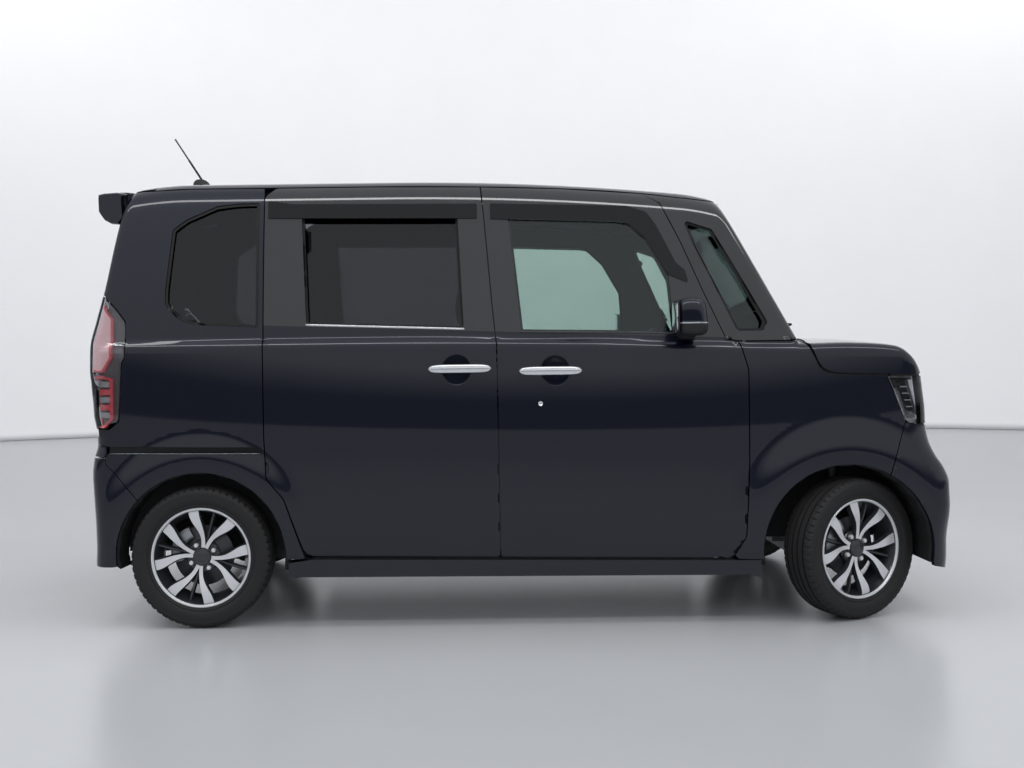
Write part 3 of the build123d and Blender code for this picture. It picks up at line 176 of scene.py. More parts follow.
for name, at, towards, size, power, shows_in_paint in (
    ("overhead_box", (0.0, -0.6, 4.6), (0.0, -0.2, 0.0), (5.5, 2.2), 145, False),
    ("front_box", (0.6, -6.5, 3.4), (0.0, 0.0, 0.9), (6.0, 1.6), 60, False),
    ("strip_light", (0.0, -3.1, 4.3), (0.0, -0.4, 1.0), (9.0, 0.40), 85, True),
    ("wall_wash", (0.0, 6.6, 7.4), (0.0, 10.5, 2.6), (18.0, 1.0), 300, False),
):
    lamp = bpy.data.lights.new(name, "AREA")
    lamp.shape = "RECTANGLE"
    lamp.size, lamp.size_y = size
    lamp.energy = power
    holder = bpy.data.objects.new(name, lamp)
    scene.collection.objects.link(holder)
    holder.location = at
    holder.visible_glossy = shows_in_paint
    holder.visible_camera = False
    holder.rotation_euler = (Vector(towards) - Vector(at)).to_track_quat("-Z", "Y").to_euler()
scene.view_settings.view_transform = "Standard"


# ---- Form of the pressed body ----
# The steel body is one smooth form: barrel-sided below the belt, leaning glass above, a crowned roof.
# Panels are pressed from this form, so neighbours always line up across their seams.
def curve_through(points):
    """A smooth monotone curve through (t, value) points."""
    t = np.array([p[0] for p in points], float)
    v = np.array([p[1] for p in points], float)
    step, rise = np.diff(t), np.diff(v) / np.diff(t)
    slope = np.zeros_like(v)
    for i in range(1, len(v) - 1):
        if rise[i - 1] * rise[i] > 0:
            w1, w2 = 2 * step[i] + step[i - 1], step[i] + 2 * step[i - 1]
            slope[i] = (w1 + w2) / (w1 / rise[i - 1] + w2 / rise[i])
    slope[0], slope[-1] = rise[0], rise[-1]

    def at(x):
        x = np.clip(x, t[0], t[-1])
        i = np.clip(np.searchsorted(t, x) - 1, 0, len(t) - 2)
        h = step[i]
        s = (x - t[i]) / h
        return (v[i] * (1 + 2 * s) * (1 - s) ** 2 + slope[i] * h * s * (1 - s) ** 2
                + v[i + 1] * s * s * (3 - 2 * s) + slope[i + 1] * h * s * s * (s - 1))
    return at


def soft_max(a, b, blend):
    """The larger of two values, rounded over where they come within blend of each other."""
    h = np.clip(0.5 + 0.5 * (a - b) / blend, 0, 1)
    return b + (a - b) * h + blend * h * (1 - h)


def soft_min(a, b, blend):
    return -soft_max(-a, -b, blend)


def step_between(value, low, high):
    """0 below low, 1 above high, and a smooth rise between."""
    t = np.clip((value - low) / (high - low), 0, 1)
    return t * t * (3 - 2 * t)


BELT_FALL = math.tan(math.radians(2.1))
FRONT_AXLE, REAR_AXLE, AXLE_Z, ARCH_R = 1.2675, -1.2525, 0.275, 0.331
nose_x = curve_through([(0.10, 1.684), (0.181, 1.6835), (0.235, 1.687), (0.29, 1.687), (0.44, 1.6965),
                        (0.53, 1.695),
                        (0.585, 1.676), (0.64, 1.642), (0.69, 1.6275), (0.76, 1.6235), (0.95, 1.6205),
                        (1.00, 1.6115), (1.04, 1.598), (1.20, 1.55)])
bonnet_z = curve_through([(0.9, 1.118), (1.12, 1.1135), (1.20, 1.111), (1.33, 1.106), (1.46, 1.092),
                          (1.53, 1.072), (1.58, 1.049), (1.62, 1.024), (1.70, 0.965)])
tail_x = curve_through([(0.10, 1.684), (0.24, 1.6865), (0.32, 1.682), (0.40, 1.6835), (0.50, 1.6895),
                        (0.60, 1.6938),
                        (0.66, 1.688), (0.72, 1.672), (0.78, 1.676), (0.84, 1.6865), (0.96, 1.6885),
                        (1.09, 1.6895),
                        (1.20, 1.666), (1.309, 1.640), (1.58, 1.587), (1.72, 1.550), (1.80, 1.528)])


def swell(x, z):
    """How far the wheel arches stand proud of the side."""
    out = 0
    for axle, low_amount, reach in ((FRONT_AXLE, 0.012, 0.185), (REAR_AXLE, 0.010, 0.150)):
        away = np.hypot(x - axle, (z - AXLE_Z) * 0.97) - ARCH_R
        out = out + low_amount * (1 - step_between(away, 0.035, reach)) * (away < reach + 0.01)
    return out


HALF_WIDE, WIDEST_Z, BELT_Z = 0.7375, 0.65, 1.147    # the sides' widest line, and the belt, at x = 0
FLOOR_Z = 0.165


def below_belt(x, y, z):
    """Negative inside the lower body: its sides, belt, bonnet, nose, tail and floor."""
    side_y = np.abs(y)
    zs = z + x * BELT_FALL
    barrel = np.where(zs < WIDEST_Z, HALF_WIDE - 0.0315 * ((WIDEST_Z - zs) / 0.415) ** 2,
                      HALF_WIDE - 0.0135 * ((zs - WIDEST_Z) / 0.435) ** 2)
    plan = 0.744 - 0.0118 * x ** 2
    side = side_y - soft_min(barrel, plan, 0.02) - swell(x, z)
    top = zs - (BELT_Z + 0.010 * step_between(x, 1.05, 1.30) - 0.0602 * y ** 2)
    top = soft_max(top, z - bonnet_z(x) + 0.060 * step_between(x, 1.22, 1.60) * y ** 2, 0.02)
    upper = soft_max(side, top, 0.036)
    bow = (0.010 + 0.014 * step_between(z, 0.60, 0.76) + 0.014 * step_between(z, 0.80, 0.95)
           + 0.024 * step_between(z, 0.95, 1.05))
    front = x - nose_x(z) + bow * (y / 0.712) ** 2
    rear = -x - tail_x(z) + 0.006 * (y / 0.716) ** 2
    round_over = (0.105 - 0.030 * step_between(z, 0.30, 0.45) * (1 - step_between(z, 0.62, 0.78))
                  - 0.045 * step_between(z, 0.95, 1.03))
    form = soft_max(upper, front, round_over)
    form = soft_max(form, rear, 0.075)
    return soft_max(form, FLOOR_Z - zs, 0.02)


SHOULDER_Y = 0.7093                                 # half width of the glasshouse at a height of 1 m
ROOF_TOP, CREST_X, TAIL_DROP_X = 1.790, -0.52, -1.30
LONG_R, LONG_RUN = 11.5, 1.162                      # the roof's long arc ahead of its crest
HEADER_R, HEADER_RUN, HEADER_START = 0.8, 0.1235, math.radians(5.8)
HEADER_FALL = 0.2642                                # slope over the screen's top
TAIL_R, TAIL_RUN, TAIL_FALL = 1.35, 0.2807, 0.2126  # the arc behind, and the slope after it
CROWN = 7.578                                       # the crown across falls by y squared over this
SCREEN_X, SCREEN_Z, SCREEN_RAKE, SCREEN_BOW = 1.165, 1.110, 0.552, 0.1831
SCREEN_SLANT = 1.142                                # length of the screen per metre of height


def above_belt(x, y, z):
    """Negative inside the glasshouse: its leaning sides, roof, screen and tail."""
    t = (z - 1.0) / 0.45
    lean = SHOULDER_Y - 0.029 * t - 0.0204 * t * t
    lean = np.where(z < 1.0, SHOULDER_Y - (1.0 - z) * 0.3, lean)
    side = np.abs(y) - lean
    ahead, behind = x - CREST_X, TAIL_DROP_X - x
    long_arc, header = np.clip(ahead, 0, LONG_RUN), np.clip(ahead - LONG_RUN, 0, HEADER_RUN)
    roof = ROOF_TOP - (LONG_R - np.sqrt(LONG_R ** 2 - long_arc ** 2))
    roof = roof - (HEADER_R * math.cos(HEADER_START)
                   - np.sqrt(HEADER_R ** 2 - (HEADER_R * math.sin(HEADER_START) + header) ** 2))
    roof = roof - np.clip(ahead - LONG_RUN - HEADER_RUN, 0, 1) * HEADER_FALL
    back = np.clip(behind, 0, TAIL_RUN)
    roof = roof - (TAIL_R - np.sqrt(TAIL_R ** 2 - back ** 2)) - np.clip(behind - TAIL_RUN, 0, 1) * TAIL_FALL
    top = z - roof + y ** 2 / CROWN
    screen = (x - (SCREEN_X - SCREEN_RAKE * (z - SCREEN_Z) - SCREEN_BOW * y ** 2)) / SCREEN_SLANT
    rear = (-x - tail_x(z) + 0.003 * (y / 0.6) ** 2) * 0.975
    form = soft_max(soft_max(side, top, 0.085), screen, 0.03)
    return soft_max(form, rear, 0.034)


def body_form(points):
    x, y, z = points[:, 0], points[:, 1], points[:, 2]
    return soft_min(below_belt(x, y, z), above_belt(x, y, z), 0.008)


def slope_of(form, points):
    """Unit normals of a form at points on it."""
    out = np.zeros_like(points)
    for axis in range(3):
        shift = np.zeros(3)
        shift[axis] = 0.0008
        out[:, axis] = form(points + shift) - form(points - shift)
    return out / np.maximum(np.linalg.norm(out, axis=1, keepdims=True), 1e-9)


def cast(origins, directions, form=body_form, reach=1.1):
    """Where rays from inside leave the form, and its normals there."""
    low, high = np.zeros(len(origins)), np.full(len(origins), reach)
    for _ in range(30):
        middle = (low + high) / 2
        outside = form(origins + directions * middle[:, None]) > 0
        high = np.where(outside, middle, high)
        low = np.where(outside, low, middle)
    points = origins + directions * ((low + high) / 2)[:, None]
    return points, slope_of(form, points)


# ---- Body paint ----
# Deep navy mica paint under clear lacquer, sprayed on pressed steel; a fine orange peel shows in it.
def lacquered(name, base, flake):
    """Paint with 0.4 mm flakes, as small as the render shows, under a clear coat with a 4 mm orange peel."""
    material, place = bare_material(name)
    cells = node(material, "ShaderNodeTexVoronoi", [("Vector", place)], Scale=2600.0)
    glint = node(material, "ShaderNodeMapRange", [("Value", cells.outputs["Color"])], From_Min=0.35,
                 From_Max=1.0)
    tint = node(material, "ShaderNodeMix",
                [(0, glint.outputs["Result"]), (6, linear(base)), (7, linear(flake))], data_type="RGBA")
    peel = node(material, "ShaderNodeTexNoise", [("Vector", place)], Scale=260.0, Detail=2.0)
    skin = node(material, "ShaderNodeBump", [("Height", peel.outputs["Fac"])], Distance=0.00002,
                Strength=0.35)
    body = node(material, "ShaderNodeBsdfPrincipled",
                [("Base_Color", tint.outputs[2]), ("Coat_Normal", skin.outputs["Normal"])],
                Metallic=0.5, Roughness=0.38, Coat_Weight=1.0, Coat_Roughness=0.025, Coat_IOR=1.45,
                Specular_IOR_Level=0.3)
    node(material, "ShaderNodeOutputMaterial", [("Surface", body.outputs[0])])
    return material


paint = lacquered("navy_mica_paint", "#060a17", "#10172d")
inner_trim = finish_of("moulded_trim", "#2a2b2e", 0.6, second="#232427", grain_size=0.0012, depth=0.00008)
gloss_black = finish_of("gloss_black_film", "#1d1e20", 0.09, second="#212225", grain_size=0.05,
                        rough_spread=0.02, Coat_Weight=0.6, Coat_Roughness=0.03)
black_plastic = finish_of("grained_black_plastic", "#141517", 0.55, second="#191a1c", grain_size=0.0009,
                          depth=0.00006)
seal_rubber = finish_of("sealing_rubber", "#0c0c0d", 0.7, second="#121213", grain_size=0.002, depth=0.00004)
chrome = finish_of("bright_chrome", "#e3e5e8", 0.10, metallic=0.8, second="#d9dce0", grain_size=0.02,
                   rough_spread=0.03)

# ---- Front doors ----
# Pressed steel door with a framed window; the pillar parts of the frame wear gloss black film.
def lay_side(uv):
    """(x, z) on the right-hand side."""
    n = len(uv)
    start = np.stack([uv[:, 0], np.full(n, -0.30), uv[:, 1]], 1)
    return cast(start, np.tile([0.0, -1.0, 0.0], (n, 1)), reach=0.6)


def rounded(corners, per_turn=10):
    """Points along a closed outline of (u, v, radius) corners."""
    out = []
    count = len(corners)
    for i, (u, v, radius) in enumerate(corners):
        p = Vector((u, v))
        before = (Vector(corners[i - 1][:2]) - p)
        after = (Vector(corners[(i + 1) % count][:2]) - p)
        if radius == 0 or before.length < 1e-6 or after.length < 1e-6:
            out.append(p)
            continue
        before.normalize()
        after.normalize()
        half = before.angle(after) / 2
        reach = radius / math.tan(half)
        centre = p + (before + after).normalized() * (radius / math.sin(half))
        start, end = p + before * reach - centre, p + after * reach - centre
        sweep_angle = start.angle_signed(end)
        for k in range(per_turn + 1):
            turned = start.copy()
            turned.rotate(Matrix.Rotation(-sweep_angle * k / per_turn, 2))
            out.append(centre + turned)
    return [(p.x, p.y) for p in out]


def shrunk(points, amount):
    """A closed outline moved inwards by amount."""
    pts = np.array(points, float)
    area = np.sum(pts[:, 0] * np.roll(pts[:, 1], -1) - np.roll(pts[:, 0], -1) * pts[:, 1])
    ahead = np.roll(pts, -1, 0) - pts
    ahead /= np.maximum(np.linalg.norm(ahead, axis=1, keepdims=True), 1e-9)
    back = np.roll(ahead, 1, 0)
    out_a = np.stack([ahead[:, 1], -ahead[:, 0]], 1) * np.sign(area)
    out_b = np.stack([back[:, 1], -back[:, 0]], 1) * np.sign(area)
    total = out_a + out_b
    factor = amount / np.maximum(1 + np.sum(out_a * out_b, 1), 0.3)
    return [tuple(p) for p in pts - total * factor[:, None]]


def divided(points, longest):
    """A closed outline with its sides divided into steps no longer than longest."""
    out = []
    for i, a in enumerate(points):
        b = points[(i + 1) % len(points)]
        gap = math.dist(a, b)
        if gap < 1e-6:
            continue
        steps = max(1, math.ceil(gap / longest))
        for t in [k / steps for k in range(steps)]:
            out.append((a[0] + (b[0] - a[0]) * t, a[1] + (b[1] - a[1]) * t))
    return out


def within(points, outline):
    """Which points lie inside a closed outline."""
    inside = np.zeros(len(points), bool)
    x, y = points[:, 0], points[:, 1]
    ax, ay = outline[-1]
    for bx, by in outline:
        if ay != by:
            crosses = (ay > y) != (by > y)
            inside ^= crosses & (x < (bx - ax) * (y - ay) / (by - ay) + ax)
        ax, ay = bx, by
    return inside


def inside_loops(points, loops):
    """Which points lie inside the first outline and outside the rest."""
    keep = within(points, loops[0])
    for hole in loops[1:]:
        keep &= ~within(points, hole)
    return keep


def panel(name, outline, lay, holes=(), cell=0.02, thick=0.012, inset=0.0, proud=0.0, materials=()):
    """A closed pressed panel: (u, v) outline and holes laid on the form, then thickened inwards."""
    loops = [divided(shrunk(outline, inset) if inset else list(outline), cell)]
    loops += [divided(shrunk(hole, -inset) if inset else list(hole), cell) for hole in holes]
    flat = np.array([p for loop in loops for p in loop])
    edges, start = [], 0
    for loop in loops:
        edges += [(start + i, start + (i + 1) % len(loop)) for i in range(len(loop))]
        start += len(loop)
    low, high = flat.min(0), flat.max(0)
    us, vs = np.arange(low[0], high[0], cell), np.arange(low[1], high[1], cell)
    inner = np.array([(u, v) for u in us + cell * 0.37 for v in vs + cell * 0.41])
    inner = inner[inside_loops(inner, loops)]
    if len(inner):
        near = np.full(len(inner), True)
        for k in range(0, len(flat), 400):
            gap = np.linalg.norm(inner[:, None] - flat[None, k:k + 400], axis=2).min(1)
            near &= gap > cell * 0.45
        inner = inner[near]
    points = [Vector(p) for p in flat] + [Vector(p) for p in inner]
    verts, _, tris, _, _, _ = delaunay_2d_cdt(points, edges, [], 0, 1e-6)
    uv = np.array([tuple(v) for v in verts])
    tris = np.array([t for t in tris if len(t) == 3])
    tris = tris[inside_loops(uv[tris].mean(1), loops)]
    used = np.unique(tris)
    renumber = np.full(len(uv), -1)
    renumber[used] = np.arange(len(used))
    uv, tris = uv[used], renumber[tris]
    top, normals = lay(uv)
    top = top + normals * proud
    facing = np.cross(top[tris[:, 1]] - top[tris[:, 0]], top[tris[:, 2]] - top[tris[:, 0]])
    wrong = np.sum(facing * normals[tris[:, 0]], 1) < 0
    tris[wrong] = tris[wrong][:, ::-1]
    count = len(top)
    edge_use = {}
    for a, b, c in tris:
        for p, q in ((a, b), (b, c), (c, a)):
            edge_use[(p, q)] = edge_use.get((p, q), 0) + 1
    rim = [(p, q) for p, q in edge_use if (q, p) not in edge_use]
    faces = [tuple(t) for t in tris] + [(q, p, p + count, q + count) for p, q in rim]
    faces += [tuple(t[::-1] + count) for t in tris]
    made = plain_mesh(name, np.concatenate([top, top - normals * thick]), faces, *materials)
    mesh = made.data
    if len(materials) > 1:
        mesh.polygons.foreach_set("material_index", [0] * (len(tris) + len(rim)) + [1] * len(tris))
    corner_normals = []
    for k, poly in enumerate(mesh.polygons):
        if k < len(tris):
            corner_normals += [tuple(normals[v]) for v in poly.vertices]
        elif k < len(tris) + len(rim):
            corner_normals += [tuple(poly.normal)] * len(poly.vertices)
        else:
            corner_normals += [tuple(-normals[v - count]) for v in poly.vertices]
    mesh.normals_split_custom_set(corner_normals)
    return made


def walled(obj, thick, offset):
    """Gives an open sheet its thickness."""
    wall = obj.modifiers.new("wall", "SOLIDIFY")
    wall.thickness, wall.offset = thick, offset
    return obj


def mirrored(obj):
    """The same piece on the left-hand side of the car."""
    source = obj.data
    verts = [(v.co.x, -v.co.y, v.co.z) for v in source.vertices]
    made = plain_mesh(obj.name.replace("right", "left"), verts,
                      [tuple(reversed(p.vertices)) for p in source.polygons], *source.materials)
    mesh = made.data
    mesh.polygons.foreach_set("material_index", [p.material_index for p in source.polygons])
    mesh.polygons.foreach_set("use_smooth", [p.use_smooth for p in source.polygons])
    if source.has_custom_normals:
        by_face = []
        for p in source.polygons:
            loops = [source.corner_normals[i].vector for i in p.loop_indices]
            by_face += [(n.x, -n.y, n.z) for n in reversed(loops)]
        mesh.normals_split_custom_set(by_face)
    for wall in obj.modifiers:
        walled(made, wall.thickness, wall.offset)
    return made


def mount(pieces, body):
    """Fixes pieces to a body."""
    for piece in pieces:
        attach(piece, body)


SHELL_SIDES, FRONT_DOORS = ("shell", "shell"), ("front_door_r", "front_door_l")


def both_sides(pieces, bodies=SHELL_SIDES):
    """Mirrors each right-hand piece, and fixes the pair to the bodies on the right and on the left."""
    for piece in pieces:
        mount([piece], bodies[0])
        mount([mirrored(piece)], bodies[1])


GAP = 0.0025     # half the seam between two panels
FRONT_DOOR = [
    (-0.086, 0.260, 0.015), (-0.092, 1.088, 0), (-0.107, 1.249, 0), (-0.134, 1.600, 0),
              (-0.145, 1.722, 0.004),
    (0.180, 1.711, 0), (0.500, 1.687, 0.02), (0.566, 1.645, 0.04), (0.642, 1.483, 0), (0.719, 1.295, 0),
    (0.806, 1.100, 0), (0.854, 1.090, 0.02), (0.886, 0.980, 0.08), (0.884, 0.620, 0), (0.868, 0.330, 0.06),
    (0.815, 0.244, 0.05),
]
FRONT_WINDOW = [(-0.040, 1.605, 0.025), (0.400, 1.590, 0.06), (0.500, 1.500, 0.06), (0.588, 1.352, 0.02),
                (0.606, 1.128, 0.012), (0.006, 1.140, 0.012)]
CUP_R, CUP_TALL, CUP_DEEP = 0.061, 1.04, 0.020
HANDLES = {"front": (0.1345, 0.986), "slide": (-0.2485, 0.994)}


def once_round(count):
    """Evenly spaced angles once round."""
    return np.linspace(0, 2 * math.pi, count, endpoint=False)


def cup_outline(at):
    """The edge of the finger recess behind a door handle."""
    return [(at[0] + CUP_R * math.cos(a), at[1] + CUP_R * CUP_TALL * math.sin(a))
            for a in once_round(40)]


def cup(name, at):
    """A dished finger recess pressed into the skin."""
    rings, around = 12, 48
    uv, sink = [], []
    for i in range(rings):
        share = 1 - i / (rings - 0.999)
        for a in once_round(around):
            uv.append((at[0] + CUP_R * share * math.cos(a), at[1] + CUP_R * CUP_TALL * share * math.sin(a)))
            sink.append(CUP_DEEP * (1 - share ** 2) ** 0.8)
    points, normals = lay_side(np.array(uv))
    points = points - normals * np.array(sink)[:, None]
    faces = [tuple(reversed(f)) for f in grid_faces(rings, around, close_cols=True)]
    return walled(plain_mesh(name, points, faces, paint), 0.001, -1)


front_outline = shrunk(rounded(FRONT_DOOR), GAP)


def belt(x):
    """Height of the belt seam, where gloss film meets paint."""
    return 1.137 - 0.0385 * x


def cut_above(points, line, keep_above=True):
    """The part of a closed outline above (or below) the height that line(u) gives."""
    out, sign = [], 1 if keep_above else -1
    for i, (u, v) in enumerate(points):
        u2, v2 = points[(i + 1) % len(points)]
        here, there = sign * (v - line(u)), sign * (v2 - line(u2))
        if here >= 0:
            out.append((u, v))
        if (here > 0) != (there > 0) and here != there:
            t = here / (here - there)
            out.append((u + (u2 - u) * t, v + (v2 - v) * t))
    return out


def door_shell(name, outline, window, handle_at, bodies):
    """Lower skin with its finger recess, and the film-covered window frame; both sides of the car."""
    skin = panel(f"{name}_skin_right", cut_above(outline, belt, keep_above=False), lay_side,
                 holes=[cup_outline(handle_at)], cell=0.016, thick=0.038, materials=(paint, inner_trim))
    window_frame = panel(f"{name}_frame_right", cut_above(outline, belt), lay_side, holes=[rounded(window)],
                         cell=0.012, thick=0.034, proud=0.0004, materials=(gloss_black, inner_trim))
    both_sides([skin, cup(f"{name}_cup_right", handle_at)], bodies)
    both_sides([window_frame], bodies)
    for side in ("right", "left"):
        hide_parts(f"{name}_{side}")


door_shell("front_door", front_outline, FRONT_WINDOW, HANDLES["front"], FRONT_DOORS)

# ---- Sliding doors ----
# Same pressed build as the front doors; the window behind its frame is fixed.
SLIDE_DOOR = [
    (-0.086, 0.260, 0.015), (-0.092, 1.088, 0), (-0.107, 1.249, 0), (-0.134, 1.600, 0),
              (-0.145, 1.722, 0.004),
    (-0.560, 1.728, 0), (-0.960, 1.728, 0.03), (-1.003, 1.690, 0.03), (-1.003, 1.160, 0), (-1.000, 0.740, 0),
    (-0.992, 0.580, 0.04), (-0.925, 0.500, 0.06), (-0.845, 0.273, 0.06),
]
SLIDE_WINDOW = [(-0.855, 1.625, 0.025), (-0.238, 1.612, 0.025), (-0.218, 1.155, 0.015),
                (-0.834, 1.178, 0.015)]
slide_outline = shrunk(rounded(SLIDE_DOOR), GAP)
door_shell("slide_door", slide_outline, SLIDE_WINDOW, HANDLES["slide"], SHELL_SIDES)

# ---- Rear quarters ----
# One pressing from the sliding door to the tailgate, with the wheel arch, quarter window and door rail slot.
def corner_lay(core_x, sign, flat=0.55, turn=0.17, lean=0.0):
    """Round an end of the car: u is 0 in the middle of the end and grows to the right, then along the side."""
    bend = turn * math.pi / 2

    def lay(uv):
        u, z = uv[:, 0], uv[:, 1]
        angle = np.clip((np.abs(u) - flat) / turn, 0, math.pi / 2)
        along = np.maximum(np.abs(u) - flat - bend, 0)
        y = -np.sign(u) * np.minimum(np.abs(u), flat)
        start = np.stack([sign * (core_x - along - lean * (z - 1.11)), y, z], 1)
        aim = np.stack([sign * np.cos(angle), -np.sign(u) * np.sin(angle), np.zeros_like(u)], 1)
        return cast(start, aim, reach=0.7)

    def to_u(x, z):
        """u on the right-hand corner or side where the surface is at x and height z."""
        edge = core_x - lean * (z - 1.11)
        if sign * x < edge:
            return flat + bend + edge - sign * x
        trial = np.linspace(0.0, flat + bend, 240)
        points, _ = lay(np.stack([trial, np.full_like(trial, z)], 1))
        return float(np.interp(-sign * x, -sign * points[:, 0], trial))

    def to_u_y(y, z):
        """u where the surface is |y| from the middle, near the end."""
        trial = np.linspace(0.0, flat + bend, 240)
        points, _ = lay(np.stack([trial, np.full_like(trial, z)], 1))
        return float(np.interp(y, -points[:, 1], trial))
    return lay, to_u, to_u_y


lay_rear, rear_u, rear_u_y = corner_lay(1.50, -1)
TAILGATE_Y = 0.5575


def arc_points(axle_x, start, end, radius=ARCH_R, count=40):
    """Points round a wheel arch between two angles in degrees."""
    return [(axle_x + radius * math.cos(math.radians(a)), AXLE_Z + radius * math.sin(math.radians(a)))
            for a in np.linspace(start, end, count)]


def to_rear(points):
    """(x, z) points on the side as (u, z) points of the rear."""
    return [(rear_u(x, z), z) for x, z in points]


def beside_gate(*heights):
    """Points down the tailgate's opening, at these heights."""
    return [(rear_u_y(TAILGATE_Y, z), z) for z in heights]


QUARTER_WINDOW = [
    (-1.362, 1.560, 0.02), (-1.310, 1.599, 0), (-1.190, 1.652, 0.06), (-1.110, 1.661, 0),
                  (-1.024, 1.663, 0.008),
    (-1.024, 1.170, 0.008), (-1.262, 1.183, 0), (-1.330, 1.200, 0.06), (-1.386, 1.262, 0.04),
                  (-1.386, 1.320, 0),
]
TAIL_LAMP = [(-1.636, 0.752, 0), (-1.565, 0.809, 0.02), (-1.552, 1.037, 0.01), (-1.539, 1.056, 0.01),
             (-1.540, 1.195, 0.02), (-1.583, 1.253, 0.02), (-1.628, 1.301, 0)]
RAIL = [(-1.612, 0.683), (-1.612, 0.709), (-1.012, 0.701), (-1.012, 0.677)]
seam_front = rounded([(-1.30, 1.90, 0), (-0.960, 1.9, 0), (-1.003, 1.690, 0.03), (-1.003, 1.160, 0),
                      (-1.000, 0.740, 0),
                      (-0.992, 0.580, 0.04), (-0.925, 0.500, 0.06), (-0.845, 0.262, 0.0), (-1.2, 0.262, 0)])
seam_front = [p for p in seam_front if p[1] < 1.7 and p[0] > -1.1]
lamp_edge = rounded([(-1.7, 0.70, 0)] + TAIL_LAMP + [(-1.7, 1.36, 0)])[1:-1]
quarter = [(-1.300, 1.7285), (-1.006, 1.7275), *seam_front,
           *arc_points(REAR_AXLE, -2.2, 137.1), (-1.507, 0.518), (-1.618, 0.638), (-1.624, 0.671)]
quarter = to_rear(quarter) + beside_gate(0.671, 0.71, 0.752) + to_rear(lamp_edge)
quarter += beside_gate(1.301, 1.40, 1.50, 1.60, 1.68, 1.704) + to_rear([(-1.560, 1.704), (-1.446, 1.7225)])
quarter_right = panel("rear_quarter_right", quarter, lay_rear, inset=GAP * 0.8, cell=0.016, thick=0.016,
                      holes=[to_rear(rounded(QUARTER_WINDOW)), to_rear(divided(RAIL, 0.1))],
                      materials=(paint, inner_trim))
both_sides([quarter_right])
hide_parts("side_panel_right")
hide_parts("side_panel_left")

# ---- Front wings ----
# Pressed wing with a swollen wheel arch, bolted between door, bonnet, headlamp and bumper.
wing = [(0.856, 1.089), (0.90, 1.0895), (1.113, 1.089), (1.147, 1.019), (1.163, 0.985), (1.180, 0.969),
        (1.22, 0.9585),
        (1.422, 0.9505), (1.426, 0.943), (1.496, 0.772), *arc_points(FRONT_AXLE, 60.6, 186.0),
        (0.90, 0.240), (0.84, 0.2405)]
wing += sorted([p for p in rounded(FRONT_DOOR) if p[0] > 0.82 and 0.243 < p[1] < 1.088], key=lambda p: p[1])
wing_right = panel("front_wing_right", wing, lay_side, inset=GAP * 0.8, cell=0.015, thick=0.014,
                   materials=(paint, black_plastic))
both_sides([wing_right])
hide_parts("front_fenders")

# ---- Windscreen pillars ----
# Box-section pillar under gloss film from the door to the screen, with a fixed quarter glass in it.
lay_screen, screen_u, screen_u_y = corner_lay(0.98, 1, flat=0.50, turn=0.12, lean=SCREEN_RAKE)
PILLAR_WINDOW = [(0.655, 1.572, 0.01), (0.765, 1.535, 0.02), (0.967, 1.165, 0.015), (0.950, 1.132, 0.01),
                 (0.850, 1.132, 0.02), (0.690, 1.478, 0)]


def to_screen(points):
    """(x, z) points on the pillar as (u, z) points of the screen."""
    return [(screen_u(x, z), z) for x, z in points]


pillar = to_screen([(0.645, 1.6665), (0.500, 1.6855), (0.566, 1.645), (0.606, 1.561), (0.642, 1.483),
                    (0.680, 1.39),
                    (0.719, 1.295), (0.806, 1.100), (0.854, 1.093), (0.95, 1.092), (1.05, 1.092)])
pillar += [(screen_u_y(y, z), z) for y, z in ((0.655, 1.095), (0.650, 1.125), (0.620, 1.312), (0.590, 1.50),
                                              (0.566, 1.648))]
pillar_right = panel("screen_pillar_right", pillar, lay_screen, inset=GAP * 0.5, cell=0.012, thick=0.030,
                     holes=[to_screen(rounded(PILLAR_WINDOW))], materials=(gloss_black, inner_trim))
both_sides([pillar_right])

# ---- Sills ----
# Narrow steel strip that shows under the doors, with the moulded garnish below it.
sill = [(-0.846, 0.240), (-0.846, 0.262), (-0.82, 0.258), (0.80, 0.236), (0.83, 0.236), (0.833, 0.215)]
sill_right = panel("sill_strip_right", sill, lay_side, cell=0.03, thick=0.03, materials=(paint,))
both_sides([sill_right])

# ---- Roof ----
# Single crowned pressing with rolled edges down to the door tops.
def lay_roof(uv):
    """(x, v): v runs across the roof, round its edge and down the side."""
    x, v = uv[:, 0], uv[:, 1]
    flat, turn = 0.50, 0.10
    bend = turn * math.pi / 2
    angle = np.clip((np.abs(v) - flat) / turn, 0, math.pi / 2)
    down = np.maximum(np.abs(v) - flat - bend, 0)
    start = np.stack([x, np.sign(v) * np.minimum(np.abs(v), flat), 1.62 - down], 1)
    aim = np.stack([np.zeros_like(x), np.sign(v) * np.sin(angle), np.cos(angle)], 1)
    return cast(start, aim, above, reach=0.5)


def above(points):
    """The glasshouse's form alone, which the roof is pressed from."""
    return above_belt(points[:, 0], points[:, 1], points[:, 2])


def reach_height(lay, start, step, height, span=0.26):
    """Goes from start along step in a lay's own flat until the surface has come down to height."""
    along = np.linspace(0, span, 60)
    points, _ = lay(np.array(start)[None] + along[:, None] * np.array(step)[None])
    found = np.interp(-height, -points[:, 2], along)
    return (start[0] + step[0] * found, start[1] + step[1] * found)


